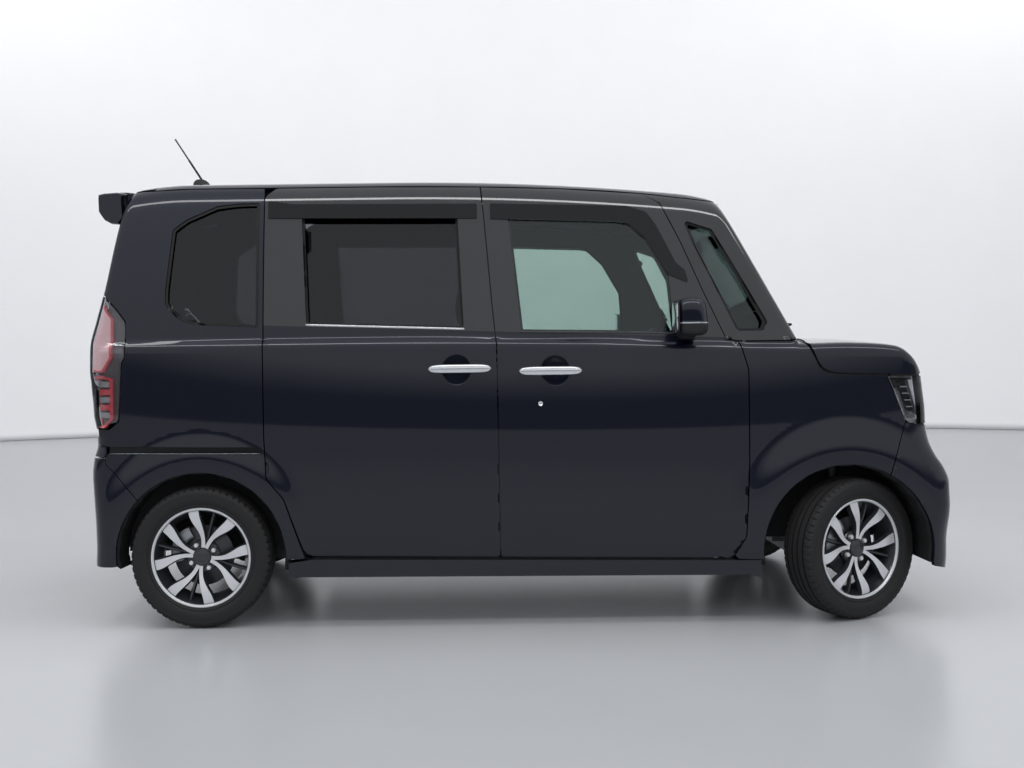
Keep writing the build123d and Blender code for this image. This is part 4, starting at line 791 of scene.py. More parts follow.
roof_split = curve_through([(-1.46, 1.7225), (-1.446, 1.7245), (-1.30, 1.731), (-0.56, 1.7305),
                            (-0.145, 1.7245),
                            (0.18, 1.7135), (0.50, 1.6895), (0.648, 1.6695), (0.76, 1.657), (0.80, 1.654)])
edge_x = np.linspace(-1.448, 0.765, 60)
right_edge = [reach_height(lay_roof, (x, -0.50), (0, -1), float(roof_split(x))) for x in edge_x]
front_edge = [(0.8645 - SCREEN_BOW * y * y, y) for y in np.linspace(-0.60, 0.60, 40)]
roof_outline = right_edge + front_edge + [(x, -v) for x, v in reversed(right_edge)]
roof = panel("roof_skin", roof_outline, lay_roof, cell=0.022, thick=0.022, materials=(paint, inner_trim))
mount([roof], "shell")
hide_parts("roof_panel")

# ---- Bonnet ----
# Clamshell bonnet whose sides wrap down to the wing seam.
def lay_bonnet(uv):
    """(s, v): s runs forward over the bonnet and down the nose, v across it and down the side."""
    s, v = uv[:, 0], uv[:, 1]
    nose, edge = np.clip((s - 1.50) / 0.14, 0, 1.5), np.clip((np.abs(v) - 0.60) / 0.15, 0, 1.5)
    start = np.stack([np.minimum(s, 1.50), np.sign(v) * np.minimum(np.abs(v), 0.60), np.full_like(s, 0.90)],
                     1)
    aim = np.stack([np.sin(nose), np.sign(v) * np.sin(edge), np.cos(nose) * np.cos(edge)], 1)
    return cast(start, aim / np.linalg.norm(aim, axis=1, keepdims=True), reach=0.5)


side_seam = curve_through([(1.121, 1.094), (1.152, 1.026), (1.168, 0.993), (1.184, 0.979), (1.225, 0.9655),
                           (1.422, 0.957), (1.50, 0.955)])
bonnet_edge = [reach_height(lay_bonnet, (x, -0.60), (0, -1), float(side_seam(x)))
               for x in np.linspace(1.123, 1.50, 30)]
bonnet_edge += [reach_height(lay_bonnet, (1.50, -0.60), (math.sin(a), -math.cos(a)), 0.954)
                for a in np.linspace(0.05, math.pi / 2 - 0.05, 14)]
bonnet_front = [reach_height(lay_bonnet, (1.50, y), (1, 0), 0.954) for y in np.linspace(-0.60, 0.60, 24)]
bonnet_rear = [(1.214 - 0.194 * (y / 0.70) ** 2 * 0.49, y) for y in np.linspace(0.66, -0.66, 30)]
bonnet_outline = bonnet_edge + bonnet_front + [(s, -v) for s, v in reversed(bonnet_edge)] + bonnet_rear
bonnet = panel("bonnet_skin", bonnet_outline, lay_bonnet, cell=0.016, thick=0.012, materials=(paint, paint))
mount([bonnet], "bonnet_body")
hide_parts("bonnet")

# ---- Front bumper ----
# Moulded wrap-round bumper, painted, with a wide lower intake.
lay_front, front_u, front_u_y = corner_lay(1.50, 1)


def to_front(points):
    """(x, z) points on the side as (u, z) points of the front."""
    return [(front_u(x, z), z) for x, z in points]


bumper = [(0.0, 0.754), (front_u(1.570, 0.754), 0.754), *to_front([(1.494, 0.768)]),
          *to_front(arc_points(FRONT_AXLE, 60.4, -8.0)), *to_front([(1.600, 0.205), (1.66, 0.190)]),
          (0.30, 0.186), (0.0, 0.186)]
bumper = bumper + [(-u, z) for u, z in reversed(bumper[1:-1])]
intake = rounded([(-0.47, 0.440, 0.03), (0.47, 0.440, 0.03), (0.43, 0.250, 0.03), (-0.43, 0.250, 0.03)])
bumper_skin = panel("front_bumper_skin", bumper, lay_front, holes=[intake], inset=GAP * 0.6, cell=0.015,
                    thick=0.02, materials=(paint, black_plastic))
mount([bumper_skin], "shell")
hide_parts("front_bumper")

# ---- Rear bumper ----
# Moulded bumper that wraps to the rear wheel arches.
rear_skin = [(0.0, 0.668), *to_rear([(-1.622, 0.668), (-1.615, 0.637), (-1.505, 0.516)]),
             *to_rear(arc_points(REAR_AXLE, 137.0, 186.0)), *to_rear([(-1.60, 0.238), (-1.65, 0.238)]),
             (0.0, 0.238)]
rear_skin = rear_skin + [(-u, z) for u, z in reversed(rear_skin[1:-1])]
rear_bumper = panel("rear_bumper_skin", rear_skin, lay_rear, inset=GAP * 0.6, cell=0.016, thick=0.02,
                    materials=(paint, black_plastic))
mount([rear_bumper], "shell")
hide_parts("rear_bumper")

# ---- Tailgate ----
# Pressed tailgate with a wide window; its top edge turns forward to the roof hinge.
TAILGATE_WINDOW = [(-0.505, 1.600, 0.05), (0.505, 1.600, 0.05), (0.505, 1.195, 0.05), (-0.505, 1.195, 0.05)]
gate = [(-0.552, 0.678), (0.552, 0.678), (0.552, 1.71), (-0.552, 1.71)]
gate_skin = panel("tailgate_skin", divided(gate, 0.05), lay_rear, holes=[rounded(TAILGATE_WINDOW)],
                  cell=0.018, thick=0.03, materials=(paint, inner_trim))
gate_top = panel("tailgate_top", [(-1.575, -0.552), (-1.4515, -0.552), (-1.4515, 0.552), (-1.575, 0.552)],
                 lay_roof, cell=0.02, thick=0.02, materials=(paint, inner_trim))
mount((gate_skin, gate_top), "tailgate_body")
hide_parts("tailgate")

# ---- Door apertures ----
# Welded body frames that the doors close on, painted, with a rubber seal round each opening.
def aperture(name, outline):
    """The frame behind one door, which laps 40 mm inside its edge, and the seal on the frame; both sides."""
    opening = shrunk(outline, 0.040)
    both_sides([panel(f"{name}_right", shrunk(outline, -0.022), lay_side, holes=[opening], cell=0.03,
                      thick=0.016, proud=-0.044, materials=(paint, inner_trim))])
    both_sides([panel(f"{name}_seal_right", shrunk(opening, -0.016), lay_side, holes=[opening], cell=0.03,
                      thick=0.004, proud=-0.0405, materials=(seal_rubber,))])


aperture("front_aperture", front_outline)
aperture("slide_aperture", slide_outline)

# ---- Sliding door rails ----
# Pressed steel channel below the rear quarter window, with a lower lip that the roller runs on. The channel's
# near-black colour is painted shade in the deep groove, and the lip's pale metal is a painted highlight along
# its foot.
# Near-black channel colour: painted shade of the deep groove.
rail_painted_shade = finish_of("waxed_rail_steel", "#0a0b0d", 0.45, metallic=0.3, second="#131417", grain_size=0.004)
# Pale lip colour: a painted highlight along the foot of the groove.
rail_lip_painted_highlight = finish_of("worn_rail_lip", "#8d9197", 0.28, metallic=0.9, second="#777b81", grain_size=0.003)
RAIL_FLOOR_Y, RAIL_SHEET = -0.7045, 0.002


def tube_faces(rows, cols, flip=False):
    """Quads round a tube of rows rings, and a face over each end."""
    last = (rows - 1) * cols
    faces = grid_faces(rows, cols, close_cols=True) + [tuple(range(cols))[::-1],
                                                       tuple(range(last, last + cols))]
    return [tuple(reversed(f)) for f in faces] if flip else faces


def spot(lay, u, v):
    """One point of the form, and its normal."""
    (point,), (normal,) = lay(np.array([[u, v]]))
    return point, normal


channel_rows, lip_rows = [], []
for x in np.linspace(-1.605, -1.014, 24):
    low, high = [np.interp(x, (RAIL[0][0], RAIL[3][0]), ends)
                 for ends in ((RAIL[0][1], RAIL[3][1]), (RAIL[1][1], RAIL[2][1]))]
    y = spot(lay_side, x, (low + high) / 2)[0][1] + 0.003
    inner_low, inner_high, floor_y = low - 0.001, high + 0.001, RAIL_FLOOR_Y
    channel_rows += [(x, y, inner_high), (x, floor_y, inner_high), (x, floor_y, inner_low), (x, y, inner_low),
                     (x, y, inner_low - RAIL_SHEET), (x, floor_y + RAIL_SHEET, inner_low - RAIL_SHEET),
                     (x, floor_y + RAIL_SHEET, inner_high + RAIL_SHEET), (x, y, inner_high + RAIL_SHEET)]
    lip_rows += [(x, y - 0.0016 + 0.0012 * math.sin(a), inner_low + 0.0018 + 0.0017 * math.cos(a))
                 for a in once_round(8)]
channel = plain_mesh("door_rail_right", channel_rows, tube_faces(24, 8, flip=True), rail_painted_shade, smooth=False)
lip = plain_mesh("door_rail_lip_right", lip_rows, tube_faces(24, 8), rail_lip_painted_highlight)
both_sides([channel, lip])

# ---- Glass ----
# Float glass: faintly green in front, dark privacy glass behind, held in rubber behind the frames.
def glass_of(name, tint, mist):
    """See-through pane: a tinted clear shader under a sharp reflection that grows towards the edge."""
    material, place = bare_material(name)
    cloud = node(material, "ShaderNodeTexNoise", [("Vector", place)], Scale=3.0, Detail=2.0)
    shade = node(material, "ShaderNodeMix", [(0, cloud.outputs["Fac"]), (6, linear(tint)), (7, linear(mist))],
                 data_type="RGBA")
    through = node(material, "ShaderNodeBsdfTransparent", [("Color", shade.outputs[2])])
    mirror = node(material, "ShaderNodeBsdfGlossy", Roughness=0.012, Color=(0.9, 0.93, 0.95, 1))
    edge = node(material, "ShaderNodeFresnel", IOR=1.5)
    both = node(material, "ShaderNodeMixShader",
                [(0, edge.outputs[0]), (1, through.outputs[0]), (2, mirror.outputs[0])])
    node(material, "ShaderNodeOutputMaterial", [("Surface", both.outputs[0])])
    return material


clear_glass = glass_of("green_tinted_glass", "#dde8e4", "#e3ece8")
privacy_glass = glass_of("dark_privacy_glass", "#a2a4a7", "#a9abae")


def dress(name, *finishes):
    """Gives a carried-over CAD node its finish."""
    for i, slot in enumerate(nodes[name].material_slots):
        slot.material = finishes[min(i, len(finishes) - 1)]


for name in ("windscreen", "front_door_glass_right", "front_door_glass_left"):
    dress(name, clear_glass)
dress("tailgate_glass", privacy_glass)
panes = [
    panel("slide_door_pane_right", shrunk(rounded(SLIDE_WINDOW), -0.010), lay_side, cell=0.04, thick=0.0035,
          proud=-0.036, materials=(privacy_glass,)),
    panel("quarter_pane_right", shrunk(to_rear(rounded(QUARTER_WINDOW)), -0.008), lay_rear, cell=0.03,
          thick=0.0035, proud=-0.0165, materials=(privacy_glass,)),
    panel("pillar_pane_right", shrunk(to_screen(rounded(PILLAR_WINDOW)), -0.006), lay_screen, cell=0.03,
          thick=0.0035, proud=-0.031, materials=(clear_glass,)),
]
both_sides(panes[:2])
both_sides(panes[2:])
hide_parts("side_glass")

# Extruded rubber round each side window, with a strip along its foot that is bright on the sliding doors.
SEAL_WIDE = 0.009
for name, outline, lay, depth, bodies in (
    ("front_door_window_seal", rounded(FRONT_WINDOW), lay_side, 0.012, FRONT_DOORS),
    ("slide_door_window_seal", rounded(SLIDE_WINDOW), lay_side, 0.012, SHELL_SIDES),
    ("quarter_window_seal", to_rear(rounded(QUARTER_WINDOW)), lay_rear, 0.004, SHELL_SIDES),
    ("pillar_window_seal", to_screen(rounded(PILLAR_WINDOW)), lay_screen, 0.008, SHELL_SIDES),
):
    both_sides([panel(f"{name}_right", shrunk(outline, -0.001), lay, holes=[shrunk(outline, SEAL_WIDE)],
                      cell=0.02,
                      thick=0.004, proud=-depth, materials=(seal_rubber,))], bodies)


def swept(name, path, section, finish, closed=False):
    """A tube of the (sideways, up) section pushed along a path of (point, sideways, up)."""
    verts = [Vector(p) + Vector(s) * a + Vector(u) * b for p, s, u in path for a, b in section]
    faces = tube_faces(len(path), len(section), flip=True)
    if closed:
        faces = [tuple(reversed(f))
                 for f in grid_faces(len(path), len(section), close_cols=True, close_rows=True)]
    return plain_mesh(name, verts, faces, finish)


def laid_bar(name, lay, line, proud, section, finish):
    """A bar along a (u, v) line of the form; proud is how far it stands out, as one value or one a point."""
    points, normals = lay(np.array(line))
    lifts = np.broadcast_to(proud, len(points))
    return swept(name, [(p + n * lift, n, (0, 0, 1)) for p, n, lift in zip(points, normals, lifts)], section,
                 finish)


def squared(value, power):
    """A sine or cosine drawn out towards 1 or -1, which squares a circle's corners."""
    return math.copysign(abs(value) ** power, value)


def oval(half_wide, half_high, count=16, power=2.4):
    """Points round a squared oval."""
    return [(half_wide * squared(math.cos(a), 2 / power), half_high * squared(math.sin(a), 2 / power))
            for a in once_round(count)]


for which, (start, end), finish, bodies in (
    ("front", ((0.004, 1.1375), (0.606, 1.1255)), gloss_black, FRONT_DOORS),
    ("slide", ((-0.836, 1.1755), (-0.216, 1.1520)), chrome, SHELL_SIDES),
):
    line = [(start[0] + (end[0] - start[0]) * t, start[1] + (end[1] - start[1]) * t)
            for t in np.linspace(0, 1, 24)]
    both_sides([laid_bar(f"{which}_door_belt_strip_right", lay_side, line, 0.0015, oval(0.0035, 0.0042),
                         finish)],
               bodies)

# ---- Door handles ----
# Die-cast grip bars, chromed, on two black gaskets; a keyed lock sits below the front one.
HANDLE_LONG, HANDLE_HALF = 0.246, 0.0165
for which, centre, bodies in (("front", (0.1155, 0.9845), FRONT_DOORS),
                              ("slide", (-0.2365, 0.9970), SHELL_SIDES)):
    verts, section = [], oval(0.0085, HANDLE_HALF, count=20, power=2.6)
    for t in np.linspace(-1, 1, 33):
        point, normal = spot(lay_side, centre[0] + t * HANDLE_LONG / 2, centre[1])
        taper = max((1 - abs(t) ** 7) ** 0.5, 0.05)
        middle = Vector(point + normal * (0.0065 + 0.020 * (1 - abs(t) ** 2.6)))
        verts += [middle + Vector(normal) * a * (0.45 + 0.55 * taper) + Vector((0, 0, 1)) * b * taper
                  for a, b in section]
    pieces = [plain_mesh(f"{which}_door_handle_right", verts, tube_faces(33, len(section), flip=True),
                         chrome)]
    gaskets = []
    for end, at in (("rear", -1), ("front", 1)):
        point, normal = spot(lay_side, centre[0] + at * (HANDLE_LONG / 2 - 0.018), centre[1])
        gaskets.append(swept(f"{which}_handle_gasket_{end}_right",
                             [(point - normal * 0.003 + normal * 0.011 * k, (1, 0, 0), (0, 0, 1))
                              for k in (0, 0.5, 1)], oval(0.0165, 0.0135, count=20), seal_rubber))
    if which == "front":
        point, normal = spot(lay_side, 0.0755, 0.8575)
        rings = [(0.0005, 0.0095), (0.0022, 0.0093), (0.0028, 0.0084), (0.0028, 0.0065), (0.0016, 0.0060),
                 (0.0016, 0.0012)]
        verts = [Vector(point) + Vector(normal) * h + Vector((math.cos(a), 0, math.sin(a))) * r
                 for h, r in rings for a in once_round(24)]
        faces = [tuple(reversed(f)) for f in grid_faces(len(rings), 24, close_cols=True)]
        faces.append(tuple(range(len(verts) - 24, len(verts))))
        pieces.append(plain_mesh("front_door_lock_right", verts, faces, chrome))
    both_sides(pieces, bodies)
    both_sides(gaskets, bodies)

# ---- Window visors ----
# Smoked acrylic rain guards, vacuum formed and taped to the window frames.
visor_smoke = glass_of("smoked_acrylic", "#2b2c2f", "#303134")
for name in ("door_visor_right", "door_visor_left", "slide_door_visors"):
    dress(name, visor_smoke)

# ---- Headlamps ----
# Clear polycarbonate covers over a bright bezel, a black louvred strip and five projector modules.
LAMP_TOP, LAMP_FOOT, LAMP_INNER = 0.9460, 0.7595, 0.432
lens_clear = glass_of("clear_polycarbonate", "#fafbfc", "#fdfdfe")
silver_bezel = finish_of("vacuum_metallised_bezel", "#e6e8ea", 0.25, metallic=0.25, second="#cdd0d4",
                         grain_size=0.01)
satin_bezel = finish_of("satin_chrome_bezel", "#c6c9cd", 0.28, metallic=0.3, second="#b6babf",
                        grain_size=0.006)
lamp_outline = rounded([(front_u(1.431, LAMP_TOP), LAMP_TOP, 0.004), (front_u(1.4955, 0.778), 0.778, 0.02),
                        (front_u(1.520, LAMP_FOOT), LAMP_FOOT, 0.012),
                        (front_u_y(LAMP_INNER, LAMP_FOOT), LAMP_FOOT, 0.012),
                        (front_u_y(LAMP_INNER, LAMP_TOP), LAMP_TOP, 0.006)])


def lamp_wall(name, outline, lay, depth, lean, material, start=0.003):
    """The side wall of a lamp bucket, from just under its lens down to the bezel."""
    points = divided(outline, 0.01)
    outer, normal = lay(np.array(points))
    foot, _ = lay(np.array(shrunk(points, lean)))
    verts = np.concatenate([outer - normal * start, foot - normal * depth, foot - normal * (depth + 0.002),
                            outer - normal * (start + 0.003)])
    return plain_mesh(name, verts, grid_faces(4, len(points), close_cols=True, close_rows=True), material)


def turned_profile(name, place, axis, profile, finish, around=32):
    """A round part from (along the axis, radius) points, closed at both ends."""
    turn = Vector(axis).to_track_quat("Z", "Y").to_matrix()
    verts = [Vector(place) + turn @ Vector((r * math.cos(a), r * math.sin(a), h))
             for h, r in profile for a in once_round(around)]
    return plain_mesh(name, verts, tube_faces(len(profile), around), finish)


head = [panel("headlamp_lens_right", lamp_outline, lay_front, cell=0.014, thick=0.003,
              materials=(lens_clear,)),
        panel("headlamp_bezel_right", shrunk(lamp_outline, 0.012), lay_front, cell=0.016, thick=0.003,
              proud=-0.036, materials=(satin_bezel,)),
        lamp_wall("headlamp_wall_right", lamp_outline, lay_front, 0.036, 0.012, silver_bezel)]
strip = [(front_u(1.462, 0.930), 0.930), (front_u(1.502, 0.930), 0.930), (front_u(1.548, 0.782), 0.782),
         (front_u(1.516, 0.782), 0.782)]
head.append(panel("headlamp_louvre_right", strip, lay_front, cell=0.012, thick=0.010, proud=-0.016,
                  materials=(gloss_black,)))
for k in range(4):
    z = 0.905 - k * 0.026
    start_u = front_u(1.469 + 0.27 * (0.930 - z) * 1.15, z)
    head.append(laid_bar(f"headlamp_rib_{k + 1}_right", lay_front,
                         [(start_u + s, z) for s in np.linspace(-0.004, -0.036, 6)], -0.013,
                         oval(0.0035, 0.0022, count=10), silver_bezel))
side_face = [(front_u(1.512, 0.932), 0.932), (front_u_y(0.632, 0.932), 0.932),
             (front_u_y(0.632, 0.775), 0.775), (front_u(1.556, 0.775), 0.775)]
head.append(panel("headlamp_reflector_right", side_face, lay_front, cell=0.014, thick=0.003, proud=-0.009,
                  materials=(silver_bezel,)))
for k, (y, z) in enumerate(((0.600, 0.872), (0.535, 0.872), (0.470, 0.872), (0.600, 0.808), (0.535, 0.808))):
    point, normal = spot(lay_front, front_u_y(y, z), z)
    seat = Vector(point) - Vector(normal) * 0.040
    bowl = [(0.0, 0.010), (0.022, 0.026), (0.0235, 0.026), (0.0235, 0.023), (0.004, 0.012), (0.004, 0.001)]
    dome = [(0.003, 0.013)] + [(0.006 + 0.011 * math.sin(a), 0.014 * math.cos(a))
                               for a in np.linspace(0, 1.45, 8)]
    head.append(turned_profile(f"headlamp_bowl_{k + 1}_right", seat, normal, bowl, silver_bezel))
    head.append(turned_profile(f"headlamp_projector_{k + 1}_right", seat, normal, dome, lens_clear))
opal = finish_of("opal_light_guide", "#e9eef2", 0.2, second="#dfe6ec", grain_size=0.01, Coat_Weight=0.5)
head.append(laid_bar("headlamp_light_guide_right", lay_front,
                     [(front_u_y(y, 0.918), 0.918) for y in np.linspace(0.445, 0.66, 18)], -0.012,
                     oval(0.004, 0.005, count=12), opal))
for name, low, high, behind in (("top", 0.942, 0.970, 1.44), ("foot", 0.738, 0.764, 1.50)):
    gap = [(front_u(behind, high), high), (front_u_y(0.425, high), high), (front_u_y(0.425, low), low),
           (front_u(behind, low), low)]
    head.append(panel(f"headlamp_{name}_gap_seal_right", gap, lay_front, cell=0.02, thick=0.002,
                      proud=-0.0055, materials=(seal_rubber,)))
both_sides(head)
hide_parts("headlamps")

# ---- Front grille ----
# Injection-moulded grille between the lamps: black slats on a dark back, with one chromed bar.
grille_box = [(-0.428, 0.7595), (0.428, 0.7595), (0.428, 0.9405), (-0.428, 0.9405)]
grille_pieces = [panel("grille_back", grille_box, lay_front, cell=0.03, thick=0.004, proud=-0.045,
                       materials=(black_plastic,)),
                 panel("grille_surround", grille_box, lay_front,
                       holes=[[(-0.412, 0.777), (0.412, 0.777), (0.412, 0.922),
                                                                         (-0.412, 0.922)]],
                       cell=0.02, thick=0.043, materials=(gloss_black,))]
for k, (z, half_high, depth, finish) in enumerate(
        ((0.8005, 0.008, 0.018, gloss_black), (0.8285, 0.008, 0.017, gloss_black),
         (0.8565, 0.008, 0.016, gloss_black), (0.893, 0.0155, 0.012, chrome))):
    grille_pieces.append(laid_bar(f"grille_bar_{k + 1}", lay_front,
                                  [(u, z) for u in np.linspace(-0.414, 0.414, 40)],
                                  -depth, oval(0.012, half_high, count=16, power=3.2), finish))
mount(grille_pieces, "shell")
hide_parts("front_grille")

# ---- Lower intake ----
# Slatted intake in the bumper skin, moulded in black, with a closed back.
pieces = [panel("intake_back", shrunk(intake, -0.02), lay_front, cell=0.04, thick=0.004, proud=-0.060,
                materials=(black_plastic,))]
for k in range(6):
    z = 0.275 + k * 0.029
    reach_u = 0.440 if z > 0.3 else 0.425
    pieces.append(laid_bar(f"intake_slat_{k + 1}", lay_front,
                           [(u, z) for u in np.linspace(-reach_u, reach_u, 36)],
                           -0.026, oval(0.014, 0.0055, count=12, power=3), black_plastic))
mount(pieces, "shell")

# ---- Tail lamps ----
# Tall corner lamps: a lightly smoked lens over a red and clear body in cells, with a black gasket. The prism
# lenses throw back the room's light, and a faint painted glow on the two reds stands in for that reflection.
smoked_lens = glass_of("smoked_lamp_lens", "#ececed", "#f2f2f3")
# Both reds glow faintly though the lamp is off: a painted glow for reflected room light.
lamp_red = finish_of("red_acrylic_lens", "#ee5c66", 0.12, second="#f4868d", grain_size=0.03, Coat_Weight=1.0,
                     Emission_Color=linear("#ff5a66"), Emission_Strength=0.12)
lamp_pink = finish_of("pale_red_light_body", "#fbd0d3", 0.14, second="#fee9ea", grain_size=0.06,
                      Coat_Weight=1.0, Emission_Color=linear("#ffc4c8"), Emission_Strength=0.22)
lamp_grey = finish_of("grey_lamp_housing", "#85888c", 0.3, second="#777a7e", grain_size=0.01, Coat_Weight=0.4)
TAIL_INNER = 0.5605
tail_outline = [(rear_u_y(TAIL_INNER, z), z) for z in (1.290, 1.10, 0.90, 0.757)]
tail_outline += shrunk(to_rear(rounded([(-1.640, 0.752, 0)] + TAIL_LAMP[1:] + [(-1.640, 1.308, 0)])),
                       0.003)[1:-1]
tail = [panel("tail_lamp_lens_right", tail_outline, lay_rear, cell=0.014, thick=0.003, proud=0.001,
              materials=(smoked_lens,)),
        panel("tail_lamp_housing_right", shrunk(tail_outline, 0.006), lay_rear, cell=0.02, thick=0.004,
              proud=-0.030, materials=(lamp_grey,)),
        lamp_wall("tail_lamp_wall_right", shrunk(tail_outline, 0.001), lay_rear, 0.030, 0.006, lamp_grey)]


def rear_loop(corners):
    """A closed (u, z) outline from corners given as ('x' or 'y', value, z)."""
    return rounded([(rear_u(at, z) if axis == "x" else rear_u_y(at, z), z, 0.006) for axis, at, z in corners])


upper = rear_loop([("x", -1.632, 1.268), ("x", -1.593, 1.212), ("x", -1.593, 1.057), ("x", -1.632, 0.997),
                   ("y", 0.590, 1.030), ("y", 0.590, 1.225)])
tail.append(panel("tail_lamp_red_rim_right", upper, lay_rear, holes=[shrunk(upper, 0.007)], cell=0.012,
                  thick=0.020, proud=-0.006, materials=(lamp_red,)))
tail.append(panel("tail_lamp_light_body_right", shrunk(upper, 0.0075), lay_rear, cell=0.012, thick=0.014,
                  proud=-0.011, materials=(lamp_pink,)))
lower = rear_loop([("x", -1.636, 0.985), ("x", -1.591, 0.975), ("x", -1.591, 0.815), ("x", -1.632, 0.782),
                   ("y", 0.590, 0.800), ("y", 0.590, 0.975)])
tail.append(panel("tail_lamp_lower_rim_right", lower, lay_rear, holes=[shrunk(lower, 0.009)], cell=0.012,
                  thick=0.018, proud=-0.007, materials=(lamp_red,)))
middle_u = rear_u_y(0.640, 0.90)
for k in range(5):
    z = 0.822 + k * 0.030
    for col, (start,
              end) in enumerate(((rear_u_y(0.600, z), middle_u), (middle_u + 0.006, rear_u(-1.601, z)))):
        cell_loop = [(start, z), (end, z), (end, z + 0.022), (start, z + 0.022)]
        tail.append(panel(f"tail_lamp_cell_{k + 1}_{col + 1}_right", cell_loop, lay_rear, cell=0.02,
                          thick=0.010,
                          proud=-0.013, materials=(silver_bezel if (k + col) % 2 else lamp_red,)))
foot_gap = rear_loop([("x", -1.560, 0.776), ("x", -1.560, 0.728), ("y", 0.570, 0.728), ("y", 0.570, 0.776)])
tail.append(panel("tail_lamp_gap_seal_right", foot_gap, lay_rear, cell=0.02, thick=0.002, proud=-0.0055,
                  materials=(seal_rubber,)))
both_sides(tail)
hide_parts("tail_lamps")

# ---- Tailgate fittings ----
# Chromed handle bar under the window with the plate lamp bar below it, and a wiper with a rubber blade.
GATE_BAR_Z = 0.985
bar = laid_bar("tailgate_handle_bar", lay_rear, [(u, GATE_BAR_Z) for u in np.linspace(-0.30, 0.30, 30)],
               -0.003, oval(0.009, 0.020, count=18, power=3), chrome)
under = laid_bar("plate_lamp_bar", lay_rear, [(u, GATE_BAR_Z - 0.030) for u in np.linspace(-0.27, 0.27, 20)],
                 -0.004, oval(0.008, 0.013, count=14, power=3), black_plastic)
pivot, facing = spot(lay_rear, 0.02, 1.165)
cap = turned_profile("rear_wiper_cap", Vector(pivot) - Vector(facing) * 0.002, facing,
                     [(0.0, 0.022), (0.012, 0.021), (0.018, 0.015), (0.019, 0.002)], black_plastic)
shares = np.linspace(0, 1, 16)
arm = laid_bar("rear_wiper_arm", lay_rear, [(0.02 - 0.30 * t, 1.165 + 0.055 * t) for t in shares],
               0.014 - 0.002 * shares, oval(0.004, 0.008, count=12), black_plastic)
blade = laid_bar("rear_wiper_blade", lay_rear, [(-0.10 - 0.32 * t, 1.198 + 0.020 * t) for t in shares], 0.009,
                 oval(0.008, 0.004, count=10), seal_rubber)
mount([under, cap, arm, blade], "tailgate_body")
mount([bar], "tailgate_body")

# ---- Roof spoiler ----
# Blow-moulded wing with turned-down ends, painted, screwed to the tailgate's top edge.
end_stations = [0.600, 0.598, 0.592, 0.58, 0.565, 0.5565, 0.5545, 0.545, 0.53, 0.515, 0.50]
stations = [-y for y in end_stations] + list(np.linspace(-0.45, 0.45, 19)) + end_stations[::-1]
verts = []
for y in stations:
    top = 1.7655 - 0.050 * (y / 0.6) ** 2
    turned = float(step_between(abs(y), 0.515, 0.560))
    front = -1.500 if abs(y) < 0.5555 else -1.556
    edge = max(0.0, (abs(y) - 0.588) / 0.012) ** 2 * 0.009
    roof_at = 1.7400 - 0.030 * (y / 0.6) ** 2
    section = [(front, roof_at), ((front - 1.60) / 2 - 0.02, (roof_at + top) / 2 + 0.004),
               (-1.650, top - 0.002), (-1.672, top - 0.007), (-1.6735, top - 0.020),
               (-1.6715, top - 0.030 - turned * (top - 1.672)),
               (-1.664, top - 0.033 - turned * (top - 1.662)),
               (-1.648, top - 0.034 - turned * (top - 1.641)),
               (-1.622, top - 0.035 - turned * (top - 1.628)),
               (-1.600 + 0.008 * turned, top - 0.036 - turned * (top - 1.627)),
               (-1.586 + 0.014 * turned, top - 0.037 - turned * (top - 1.652)),
               ((front - 1.60) / 2 + 0.005 * (1 - turned), roof_at - 0.004 - turned * 0.002)]
    middle = np.mean(section, 0)
    for x, z in section:
        verts.append((x + (middle[0] - x) * edge * 8, y, z + (middle[1] - z) * edge * 8))
spoiler = plain_mesh("roof_spoiler_wing", verts, tube_faces(len(stations), len(section), flip=True), paint)
spoiler.data.set_sharp_from_angle(angle=math.radians(38))
# The stop lamp's red carries the same faint painted glow.
stop = panel("high_stop_lamp", rounded([(-0.13, 1.728, 0.004), (0.13, 1.728, 0.004), (0.13, 1.742, 0.004),
                                        (-0.13, 1.742, 0.004)]),
             lambda uv: (np.stack([np.full(len(uv), -1.6740), uv[:, 0], uv[:, 1]], 1),
                         np.tile([-1.0, 0, 0], (len(uv), 1))), cell=0.02, thick=0.006, proud=0.0015,
             materials=(lamp_red,))
mount([spoiler], "tailgate_body")
mount([stop], "tailgate_body")
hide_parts("roof_spoiler")

# ---- Cowl and wipers ----
# Black cowl panel under the screen, with two pressed wiper arms and their rubber blades.
dress("cowl", black_plastic)
for k, (start_y, end_y, arm_y) in enumerate(((-0.60, -0.07, -0.10), (0.02, 0.44, 0.40))):
    points, normals = lay_screen(np.stack([-np.linspace(start_y, end_y, 26), np.linspace(1.150, 1.170, 26)],
                                          1))
    blade = swept(f"wiper_blade_{k + 1}",
                  [(p + n * 0.008, n, np.cross((0, 1, 0), n)) for p, n in zip(points, normals)],
                  oval(0.007, 0.005, count=10), seal_rubber)
    tip, tip_normal = spot(lay_screen, -(start_y + end_y) / 2, 1.160)
    root, root_normal = spot(lay_screen, -arm_y, 1.112)
    path = []
    for t in np.linspace(0, 1, 14):
        p = Vector(root) * (1 - t) + Vector(tip) * t
        n = (Vector(root_normal) * (1 - t) + Vector(tip_normal) * t).normalized()
        path.append((p + n * (0.020 - 0.008 * t), n, n.cross((Vector(tip) - Vector(root)).normalized())))
    arm = swept(f"wiper_arm_{k + 1}", path, oval(0.005, 0.009, count=12), black_plastic)
    cap = turned_profile(f"wiper_cap_{k + 1}", Vector(root) - Vector(root_normal) * 0.004, root_normal,
                         [(0.0, 0.019), (0.024, 0.018), (0.030, 0.012), (0.032, 0.002)], black_plastic)
    mount([blade, arm, cap], "shell")

